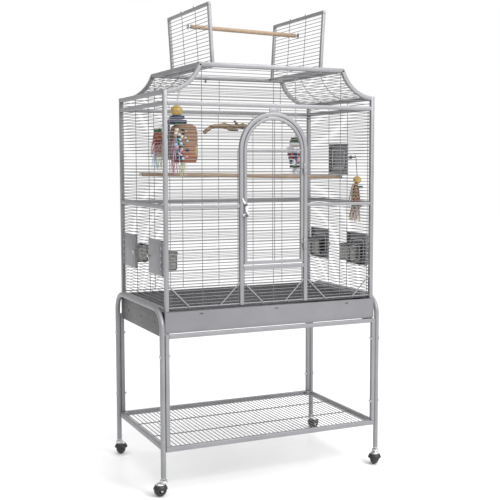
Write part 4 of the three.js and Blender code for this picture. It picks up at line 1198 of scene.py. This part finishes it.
def door_latch(bright, dark):
    """A pressed lever with a curled grip, its pivot boss and a dark thumb knob."""
    x, _, z = pivot("latch_turn")
    face = DOOR_Y - THIN / 2 - GAP
    solid = Solid()
    spine = smooth_path([(x + u, face - 3, z + v) for u, v in LATCH_SPINE], 6)
    sections = []
    for i in range(len(spine)):
        place = i * (len(LATCH_WIDTH) - 1) / (len(spine) - 1)
        k = min(int(place), len(LATCH_WIDTH) - 2)
        width = LATCH_WIDTH[k] + (LATCH_WIDTH[k + 1] - LATCH_WIDTH[k]) * (place - k)
        sections.append(rounded(2.6, width, 1.1))
    sweep(solid, spine, sections, Y)
    lathe(solid, [(5.6, 0), (5.6, 4.6), (5, 5.8), (3, 6.6), (0, 6.8)], (x, face, z), -Y, 28, 1)
    grip = [(3.4, 2.5), (3.4, 7), (5.4, 8.6), (6, 11.6), (5.4, 14.6), (3.4, 16), (0, 16.4)]
    lathe(solid, grip, (x - 1, face, z - 39), -Y, 28, 1)
    lathe(solid, [(3, 0), (3, 6), (2.4, 7), (0, 7.2)], (x - 11, face, z - 36), -Y, 20)
    block(solid, (x - 12, face - 2.4, z - 42), (x + 8, face - 1, z - 33), 0.6)
    piece("door_latch_lever", solid, [bright, dark], "door_latch", smooth=35)


# ---- perches ----
def dowel(start, end, radius, sides=36):
    """A turned dowel with eased ends and a slight bow in its surface."""
    solid = Solid()
    start = Vector(start)
    end = Vector(end)
    along = (end - start).normalized()
    length = (end - start).length
    steps = 48
    stations = [(0, radius - 1.4), (0.5, radius - 0.5), (1.6, radius)]
    for i in range(1, steps):
        uneven = 0.15 * noise.noise(Vector((i * 0.7, 0, length * MM)))
        stations.append((length * i / steps, radius + uneven))
    stations += [(length - 1.6, radius), (length - 0.5, radius - 0.5), (length, radius - 1.4)]
    loops = [set_loop(circle(r, sides), start + along * s, along, Z)[0] for s, r in stations]
    loft(solid, loops)
    return solid


def perches(wood, steel):
    lo, hi = box("top_perch")
    radius = 8
    heights = {"left": hi.z - radius, "right": lo.z + radius}
    solid = dowel((lo.x, 0, heights["left"]), (hi.x, 0, heights["right"]), radius)
    piece("play_perch_dowel", solid, [wood], "top_perch", smooth=40)
    washer = [(11.4, 2), (12, 2.4), (12, 3.2), (11.4, 3.5)]
    nut = [(4.6, 3.3), (5, 3.8), (5, 7.4), (4.4, 8)]
    for side, sign in (("left", -1), ("right", 1)):
        place = (sign * FLAP_X, 0, FLAP_FOOT + (heights[side] - FLAP_FOOT) / math.cos(FLAP_LEAN))
        bolt = Solid()
        lathe(bolt, [(2.3, -6), (2.3, 9.4), (1.7, 10)], place, sign * X, 16)
        lathe(bolt, washer, place, sign * X, 36)
        lathe(bolt, nut, place, sign * X, 6)
        leaning = Solid()
        leaning.merge(bolt, flap_matrix(sign))
        piece(f"perch_bolt_set_{side}", leaning, [steel], f"perch_bolt_{side}", smooth=35)
    lo, hi = box("long_perch")
    start = (lo.x, hi.y - radius, hi.z - radius)
    end = (hi.x, lo.y + radius, lo.z + radius)
    piece("long_perch_dowel", dowel(start, end, radius), [wood], "long_perch", smooth=40)
    solid = Solid()
    for place, sign in ((start, -1), (end, 1)):
        outside = (sign * (HALF_W + 2.6), place[1], place[2])
        lathe(solid, [(8.4, 0), (9, 0.3), (9, 1.2), (8.4, 1.5)], outside, sign * X, 32)
        lathe(solid, [(4.4, 1.3), (4.6, 1.7), (4.6, 4.6), (4, 5.2), (0, 5.2)], outside, sign * X, 6)
    piece("long_perch_screws", solid, [steel], body="root", smooth=40)


def crooked(path, thick, thin, sides=16, knots=()):
    """A tapering limb with knots and uneven bark."""
    solid = Solid()
    points = smooth_path(path, 10)
    count = len(points)
    sections = []
    for i in range(count):
        share = i / (count - 1)
        radius = thick + (thin - thick) * share
        radius *= 1 + sum(0.35 * math.exp(-((share - k) / 0.03) ** 2) for k in knots)
        outline = []
        for k in range(sides):
            angle = 2 * math.pi * k / sides
            spot = Vector((math.cos(angle), math.sin(angle), share * 9))
            size = radius * (1 + 0.13 * noise.noise(spot * 1.6) + 0.06 * noise.noise(spot * 5))
            outline.append((size * math.cos(angle), size * math.sin(angle)))
        sections.append(outline)
    sweep(solid, points, sections)
    return solid


def smooth_path(points, steps):
    """A Catmull-Rom curve through the points."""
    p = [Vector(q) for q in points]
    p = [2 * p[0] - p[1], *p, 2 * p[-1] - p[-2]]
    path = []
    for i in range(1, len(p) - 2):
        for s in range(steps):
            t = s / steps
            a, b, c, d = p[i - 1], p[i], p[i + 1], p[i + 2]
            bend = (2 * a - 5 * b + 4 * c - d) * t * t + (3 * b - a - 3 * c + d) * t ** 3
            path.append(0.5 * (2 * b + (c - a) * t + bend))
    return path + [p[-2]]


def branch_perch(bark_paint):
    """A forked limb that grows out of the back wall."""
    wall = high("branch_perch").y - 0.5
    limbs = (
        ([(104, 0, 1341), (96, -40, 1340), (60, -82, 1338), (10, -104, 1336), (-46, -122, 1337),
          (-92, -132, 1330), (-126, -138, 1308)], 10, 7.5, (0.3, 0.62)),
        ([(-40, -120, 1336), (-20, -124, 1328), (-2, -132, 1322), (20, -142, 1319)], 8, 5.5, (0.5,)),
        ([(40, -92, 1338), (34, -88, 1350), (30, -80, 1358)], 6, 4.5, ()),
    )
    solid = Solid()
    for points, thick, thin, knots in limbs:
        path = [(x, wall + y, z) for x, y, z in points]
        solid.merge(crooked(path, thick, thin, knots=knots))
    piece("branch_limb", solid, [bark_paint], "branch_perch", smooth=60)


# ---- hanging toys ----
def chain(solid, top, bottom, paint=0, link=9, thick=0.9):
    """Oval links that turn a quarter from one to the next."""
    top = Vector(top)
    bottom = Vector(bottom)
    length = (top - bottom).length
    pitch = link - 2.2 * thick
    count = max(int(length / pitch), 1)
    pitch = length / count
    for i in range(count):
        middle = top.lerp(bottom, (i + 0.5) / count)
        path = []
        for k in range(16):
            angle = 2 * math.pi * k / 16
            across = 2.6 * math.cos(angle)
            up = (pitch / 2 + 1.0 * thick) * math.sin(angle)
            path.append(middle + Vector((across if i % 2 else 0, 0 if i % 2 else across, up)))
        sweep(solid, path, circle(thick, 6), (Y if i % 2 else X), paint, True)


def ball_profile(radius, height, flat=0.12):
    profile = []
    for i in range(13):
        angle = math.radians(-90 + 180 * i / 12)
        profile.append((max(radius * math.cos(angle), flat * radius), height / 2 * math.sin(angle)))
    return profile


def strip(solid, start, fall, width, paint, rng, spread, thick=0.35):
    """One paper or raffia strip that leaves its knot outwards and droops."""
    turn = rng.uniform(0, 2 * math.pi)
    out = Vector((math.cos(turn), math.sin(turn), 0)) * spread * rng.uniform(0.35, 1)
    kink = Vector((rng.uniform(-1, 1), rng.uniform(-1, 1), 0)) * spread * 0.25
    path = [start, start + out * 0.45 + Z * 4, start + out * 0.9 - Z * fall * 0.35,
            start + out + kink - Z * fall * 0.7, start + out * 0.9 + kink * 1.6 - Z * fall]
    twist = out.cross(Z) * MM + Z * rng.uniform(-0.4, 0.4)
    sweep(solid, smooth_path(path, 4), rounded(width, thick, thick * 0.4, 1), twist, paint)


def tuft(solid, place, count, fall, spread, paints, rng, width=2.6):
    for i in range(count):
        drop = fall * rng.uniform(0.5, 1)
        wide = width * rng.uniform(0.7, 1.3)
        strip(solid, Vector(place), drop, wide, paints[i % len(paints)], rng, spread)


def woven_barrel(solid, centre, bottom, top, radius, paints, rng):
    """A barrel of stacked fibre coils with a round shoulder and a closer turn at its foot."""
    rows = len(paints)
    pitch = (top - bottom) / rows
    steps = 60
    for row in range(rows):
        share = 2 * (row + 0.5) / rows - 1
        power = 4.5 if share > 0 else 9
        full = (1 - abs(share) ** power) ** (1 / power)
        ring_r = radius * max(full, 0.45) - pitch * 0.5
        z = bottom + (row + 0.5) * pitch
        path = []
        sections = []
        for k in range(steps):
            angle = 2 * math.pi * k / steps
            swell = 1 + 0.1 * math.sin(angle * 24 + row) + 0.05 * rng.uniform(-1, 1)
            out = Vector((math.cos(angle), math.sin(angle), 0))
            path.append(Vector((*centre, z)) + out * ring_r)
            sections.append(circle(pitch * 0.6 * swell, 8))
        sweep(solid, path, sections, Z, paints[row], True)
    tall = top - bottom
    core = [(0.84 * radius, 0), (0.88 * radius, 3), (0.86 * radius, 0.7 * tall), (0.4 * radius, tall)]
    lathe(solid, core, (*centre, bottom), Z, 40, paints[0])


TOY_COLOURS = {
    "tan_fibre": ("fibre", (0.27, 0.15, 0.09), (0.43, 0.26, 0.16)),
    "brown_fibre": ("fibre", (0.18, 0.09, 0.05), (0.34, 0.19, 0.11)),
    "russet_fibre": ("fibre", (0.27, 0.07, 0.04), (0.4, 0.14, 0.08)),
    "orange_strip": ("fibre", (0.42, 0.1, 0.04), (0.62, 0.24, 0.12)),
    "pink_strip": ("fibre", (0.55, 0.2, 0.32), (0.76, 0.42, 0.52)),
    "blue_strip": ("fibre", (0.22, 0.5, 0.7), (0.55, 0.76, 0.86)),
    "green_strip": ("fibre", (0.22, 0.36, 0.08), (0.45, 0.6, 0.25)),
    "cream_strip": ("fibre", (0.66, 0.58, 0.42), (0.86, 0.8, 0.66)),
    "yellow_bead": ("moulded", (0.44, 0.27, 0.03), (0.6, 0.4, 0.09)),
    "navy_bead": ("moulded", (0.006, 0.016, 0.06), (0.015, 0.04, 0.12)),
    "black_bead": ("moulded", (0.012, 0.014, 0.013), (0.03, 0.034, 0.03)),
    "white_bead": ("moulded", (0.56, 0.58, 0.64), (0.74, 0.76, 0.8)),
    "red_bead": ("moulded", (0.16, 0.008, 0.02), (0.28, 0.02, 0.04)),
    "green_bead": ("moulded", (0.03, 0.09, 0.03), (0.08, 0.17, 0.07)),
    "tan_bead": ("moulded", (0.42, 0.25, 0.13), (0.58, 0.38, 0.22)),
}


def toy_materials():
    made = []
    for name, (kind, dark, light) in TOY_COLOURS.items():
        made.append(fibre(name, dark, light) if kind == "fibre" else moulded(name, dark, light))
    return made


def number(name):
    """A toy colour's place in the toys' material list; the bright steel of hooks and chains comes last."""
    return list(TOY_COLOURS).index(name) if name in TOY_COLOURS else len(TOY_COLOURS)


def numbers(*names):
    return [number(name) for name in names]


def cube_bead(solid, centre, half, tall, turn, paint, deep=None):
    """A block with eased edges, turned about the vertical; deep is its half depth where it isn't square."""
    deep = deep or half
    shell = Solid()
    block(shell, (-half, -deep, -tall / 2), (half, deep, tall / 2), min(2, tall / 4), number(paint))
    solid.merge(shell, Matrix.Translation(centre) @ Matrix.Rotation(math.radians(turn), 4, "Z"))


def round_bead(solid, centre, radius, tall, paint, axis=Z):
    lathe(solid, ball_profile(radius, tall), centre, axis, 24, number(paint))


def bead_ring(solid, centre, radius, names, half, tall):
    """Small blocks in a ring, each with the colour that its place in the list gives."""
    for i, name in enumerate(names):
        angle = 2 * math.pi * i / len(names)
        spot = (centre[0] + radius * math.cos(angle), centre[1] + radius * math.sin(angle), centre[2])
        cube_bead(solid, spot, half, tall, 37 * i, name)


def basket_toy(paints):
    """A woven barrel under a ball and boards; a board's far end carries a smaller bunch."""
    rng = random.Random(4)
    solid = Solid()
    hook = pivot("basket_swing")
    y = hook.y
    stem_x = hook.x - 22
    chain(solid, hook, (stem_x, y, 1396), number("steel"))
    round_bead(solid, (stem_x, y, 1378), 23, 42, "yellow_bead")
    cube_bead(solid, (stem_x + 2, y, 1354), 21, 13, 4, "navy_bead")
    cube_bead(solid, (stem_x - 1, y, 1339), 33, 12, 4, "navy_bead", 22)
    cube_bead(solid, (stem_x + 4, y, 1331), 24, 6, 12, "green_bead")
    bands = numbers(*["russet_fibre", "tan_fibre"] * 5, *["tan_fibre", "brown_fibre"] * 5)
    woven_barrel(solid, (hook.x + 5, y), 1190, 1330, 51, bands, rng)
    barrel_front(solid, hook, rng)
    side_bunch(solid, hook, rng)
    piece("hanging_basket_toy", solid, paints, "toy_basket", smooth=60)


def barrel_front(solid, hook, rng):
    """Beads, rings and strips on the barrel's near side, and the narrow strap beside it."""
    x = hook.x
    y = hook.y - 46
    strap_x = x - 60
    cube_bead(solid, (strap_x, y + 24, 1272), 2.6, 148, 0, "navy_bead", 8)
    cube_bead(solid, (strap_x, y + 22, 1284), 5, 14, 20, "green_bead")
    cube_bead(solid, (x + 36, y + 10, 1234), 6, 36, 20, "green_strip", 3)
    upper = ("cream_strip", "black_bead", "white_bead", "tan_bead") * 3
    middle = ("blue_strip", "black_bead", "blue_strip", "white_bead", "green_bead") * 2
    lower = ("pink_strip", "black_bead", "white_bead", "navy_bead") * 4
    for i, name in enumerate(upper + middle + lower):
        radius = rng.uniform(4.5, 8)
        spot = (x + rng.uniform(-46, 2), y + rng.uniform(-3, 5), (1308 - 2.9 * i))
        round_bead(solid, spot, radius, 1.8 * radius, name)
    left = (x - 40, y + 6, 1276)
    tuft(solid, left, 24, 96, 16, numbers("blue_strip", "pink_strip", "white_bead", "black_bead"), rng)
    tuft(solid, (x - 42, y + 16, 1206), 22, 74, 16, numbers("pink_strip", "red_bead"), rng, 1.6)
    tuft(solid, (x - 8, y + 16, 1204), 22, 68, 14, numbers("cream_strip", "green_strip"), rng, 2)


def side_bunch(solid, hook, rng):
    """The smaller bunch of strips and beads, under its own board."""
    near = Vector((hook.x - 40, hook.y + 16, 1337))
    place = Vector((-364, -22, 1334))
    bend = near.lerp(place, 0.8) - Z * 14
    arm = smooth_path([near, near.lerp(place, 0.4) - Z * 3, bend, place - Z * 30], 6)
    sweep(solid, arm, circle(1.6, 8), Z, number("steel"))
    wire(solid, place - Z * 24, place - Z * 100, 1.4, 8, number("steel"))
    cube_bead(solid, place - Z * 26, 11, 16, 30, "green_bead")
    cube_bead(solid, place - Z * 46, 12, 18, 12, "orange_strip")
    cube_bead(solid, place - Z * 70, 14, 14, 40, "red_bead")
    round_bead(solid, place + Vector((12, 4, -94)), 9, 14, "black_bead")
    round_bead(solid, place + Vector((-8, -8, -96)), 10, 16, "tan_bead")
    tuft(solid, place - Z * 30, 40, 72, 24, numbers("orange_strip", "russet_fibre", "orange_strip"), rng)
    tuft(solid, place - Z * 66, 40, 62, 27, numbers("pink_strip", "cream_strip", "pink_strip"), rng, 4)
    tuft(solid, place - Z * 98, 28, 88, 22, numbers("blue_strip", "cream_strip", "green_strip"), rng, 2)


def blocks_toy(paints):
    """Stacked boards with rings of small blocks and a few thin strips below."""
    rng = random.Random(7)
    solid = Solid()
    hook = pivot("blocks_swing")
    x, y = hook.x + 3, hook.y
    chain(solid, hook, (x, y, 1290), number("steel"))
    boards = (("black_bead", 1284, 16, 15), ("green_bead", 1274, 19, 6), ("white_bead", 1265, 23, 11),
              ("tan_bead", 1256, 25, 5), ("white_bead", 1247, 28, 9), ("white_bead", 1231, 27, 9))
    for i, (name, z, half, tall) in enumerate(boards):
        cube_bead(solid, (x, y, z), half, tall, 25 * i, name)
    bead_ring(solid, (x, y, 1239), 31, ("black_bead", "navy_bead") * 5, 4.4, 7)
    bead_ring(solid, (x, y, 1221), 28, ("red_bead", "russet_fibre", "navy_bead") * 4, 5, 12)
    bead_ring(solid, (x, y, 1208), 22, ("navy_bead", "red_bead", "red_bead") * 3, 8, 12)
    bead_ring(solid, (x, y, 1192), 20, ("navy_bead", "white_bead") * 4, 7, 16)
    round_bead(solid, (x - 2, y - 28, 1200), 8, 22, "pink_strip")
    foot_ring = ("black_bead", "green_bead", "black_bead", "white_bead") * 2
    bead_ring(solid, (x, y, 1175), 20, foot_ring, 5.6, 12)
    wire(solid, (x, y, 1290), (x, y, 1160), 3, 10, number("tan_bead"))
    tuft(solid, (x, y, 1172), 26, 56, 18, numbers("white_bead", "blue_strip", "pink_strip"), rng, 1.8)
    piece("hanging_blocks_toy", solid, paints, "toy_blocks", smooth=60)


def tassel_toy(paints):
    """A bead head over loose strips, a red drum, a cross rod and raffia."""
    rng = random.Random(11)
    solid = Solid()
    hook = pivot("tassel_swing")
    x, y = hook.x + 6, hook.y
    wire(solid, hook, (x, y, 1134), 1.4, 8, number("black_bead"))
    round_bead(solid, (x, y, 1122), 16, 30, "yellow_bead")
    cube_bead(solid, (x + 6, y, 1094), 13, 10, 20, "green_bead")
    cube_bead(solid, (x - 4, y, 1082), 8, 22, 50, "tan_bead")
    round_bead(solid, (x - 2, y, 1062), 11, 18, "tan_bead")
    drum = [(13, -10), (14.5, -8.4), (14.5, 8.4), (13, 10)]
    lathe(solid, drum, (x - 5, y, 1040), Z, 28, number("red_bead"))
    wire(solid, (x - 26, y - 6, 1020), (x - 2, y - 6, 1019), 3.4, 12, number("green_bead"))
    wire(solid, (x - 2, y - 6, 1019), (x + 17, y - 6, 1018), 3.4, 12, number("black_bead"))
    loose = numbers("tan_fibre", "cream_strip", "brown_fibre", "green_strip", "russet_fibre")
    tuft(solid, (x - 10, y, 1102), 56, 96, 21, loose, rng, 3)
    raffia = numbers("cream_strip", "tan_fibre", "russet_fibre", "white_bead")
    tuft(solid, (x - 10, y, 1018), 60, 64, 20, raffia, rng, 2.2)
    piece("hanging_tassel_toy", solid, paints, "toy_tassel", smooth=60)


def toy_hook(dark):
    """A bent rod from the right wall that holds the tassel toy."""
    hook = pivot("tassel_swing")
    root = Vector((HALF_W - 3, hook.y + 104, hook.z + 3))
    tip = hook + Vector((-3, 0, 2))
    path = [root, root + Vector((-6, -16, 0)), hook + Vector((3, 18, 1)), tip, tip + Vector((-3, -4, 7))]
    solid = Solid()
    sweep(solid, smooth_path(path, 8), circle(2, 12), Z)
    knob = [(4, -2), (6.4, -1), (7, 3), (6.4, 8), (4.6, 10), (0, 10.4)]
    lathe(solid, knob, root + X * 2, -X, 28)
    piece("toy_hook_rod", solid, [dark], "toy_hook", smooth=50)


# ---- everything together ----
camera()
studio()
studio_floor()

COAT = powder_coat("silver_powder_coat", (0.25, 0.25, 0.262), (0.31, 0.31, 0.323))
# The panel wires get a darker copy of the silver coat: painted shade on the thin round wires, which wear the
# same coat as the tubes.
WIRE_SHADE_COAT = powder_coat("silver_coat_painted_wire_shade", (0.16, 0.157, 0.165), (0.21, 0.207, 0.215), 0.2)
SHEET_COAT = powder_coat("silver_sheet_coat", (0.21, 0.207, 0.22), (0.25, 0.247, 0.26), 0.25)
# The tray runners get a much darker copy of the silver coat: painted shade where the runners sit under the
# cage.
RUNNER_SHADE_COAT = powder_coat("silver_coat_painted_runner_shade", (0.075, 0.072, 0.075), (0.1, 0.096, 0.1), 0.2)
STEEL = zinc_steel()
BRIGHT = powder_coat("bright_zinc", (0.62, 0.62, 0.63), (0.78, 0.78, 0.79), 0.3)
CUP_STEEL = brushed_steel("cup_steel", (0.5, 0.5, 1), (0.05, 0.05, 0.046), (0.36, 0.36, 0.34))
# Dark paint for the latch's boss and knob and for the toy hook, also used as painted shade in the tray's finger
# marks.
DARK = powder_coat("dark_parts_and_painted_recess_shade", (0.08, 0.08, 0.085), (0.13, 0.13, 0.14))
TYRE = rubber()
WOOD = wood_grain("perch_wood", (0.26, 0.17, 0.11), (0.44, 0.32, 0.22))
BARK = bark("branch_bark", (0.05, 0.03, 0.016), (0.27, 0.18, 0.1))
TOY_PAINTS = toy_materials() + [STEEL]

stand_side_frames(COAT)
stand_end_frames(COAT)
leg_bolts(STEEL)
storage_shelf(COAT, WIRE_SHADE_COAT)
casters(STEEL, TYRE)
tray_runners(RUNNER_SHADE_COAT)
back_skirt(SHEET_COAT)
tray(SHEET_COAT, DARK)
floor_grate(COAT, WIRE_SHADE_COAT)
grate_rails(SHEET_COAT)
for wall, direction in (("left", -1), ("right", 1)):
    front_grille(COAT, WIRE_SHADE_COAT, wall, direction)
door_frame(COAT)
lower_grille(COAT, WIRE_SHADE_COAT)
gable(COAT, WIRE_SHADE_COAT, "front", -1)
gable(COAT, WIRE_SHADE_COAT, "back", 1)
roof_ring(COAT, WIRE_SHADE_COAT)
roof_slopes(COAT, WIRE_SHADE_COAT)
roof_flaps(COAT, WIRE_SHADE_COAT, STEEL)
back_grille(COAT, WIRE_SHADE_COAT)
BOWLS = [(-FEEDER_Y, FEEDER_Z, FEEDER_TALL), (FEEDER_Y, FEEDER_Z, FEEDER_TALL)]
side_wall(COAT, WIRE_SHADE_COAT, "left", -1, BOWLS)
side_wall(COAT, WIRE_SHADE_COAT, "right", 1, BOWLS + [(0, HATCH_Z, HATCH_TALL)])
feeders(SHEET_COAT, STEEL, BRIGHT, CUP_STEEL)
front_door(COAT, WIRE_SHADE_COAT)
door_hinges(COAT, STEEL)
door_latch(BRIGHT, DARK)
perches(WOOD, STEEL)
branch_perch(BARK)
basket_toy(TOY_PAINTS)
blocks_toy(TOY_PAINTS)
tassel_toy(TOY_PAINTS)
toy_hook(DARK)
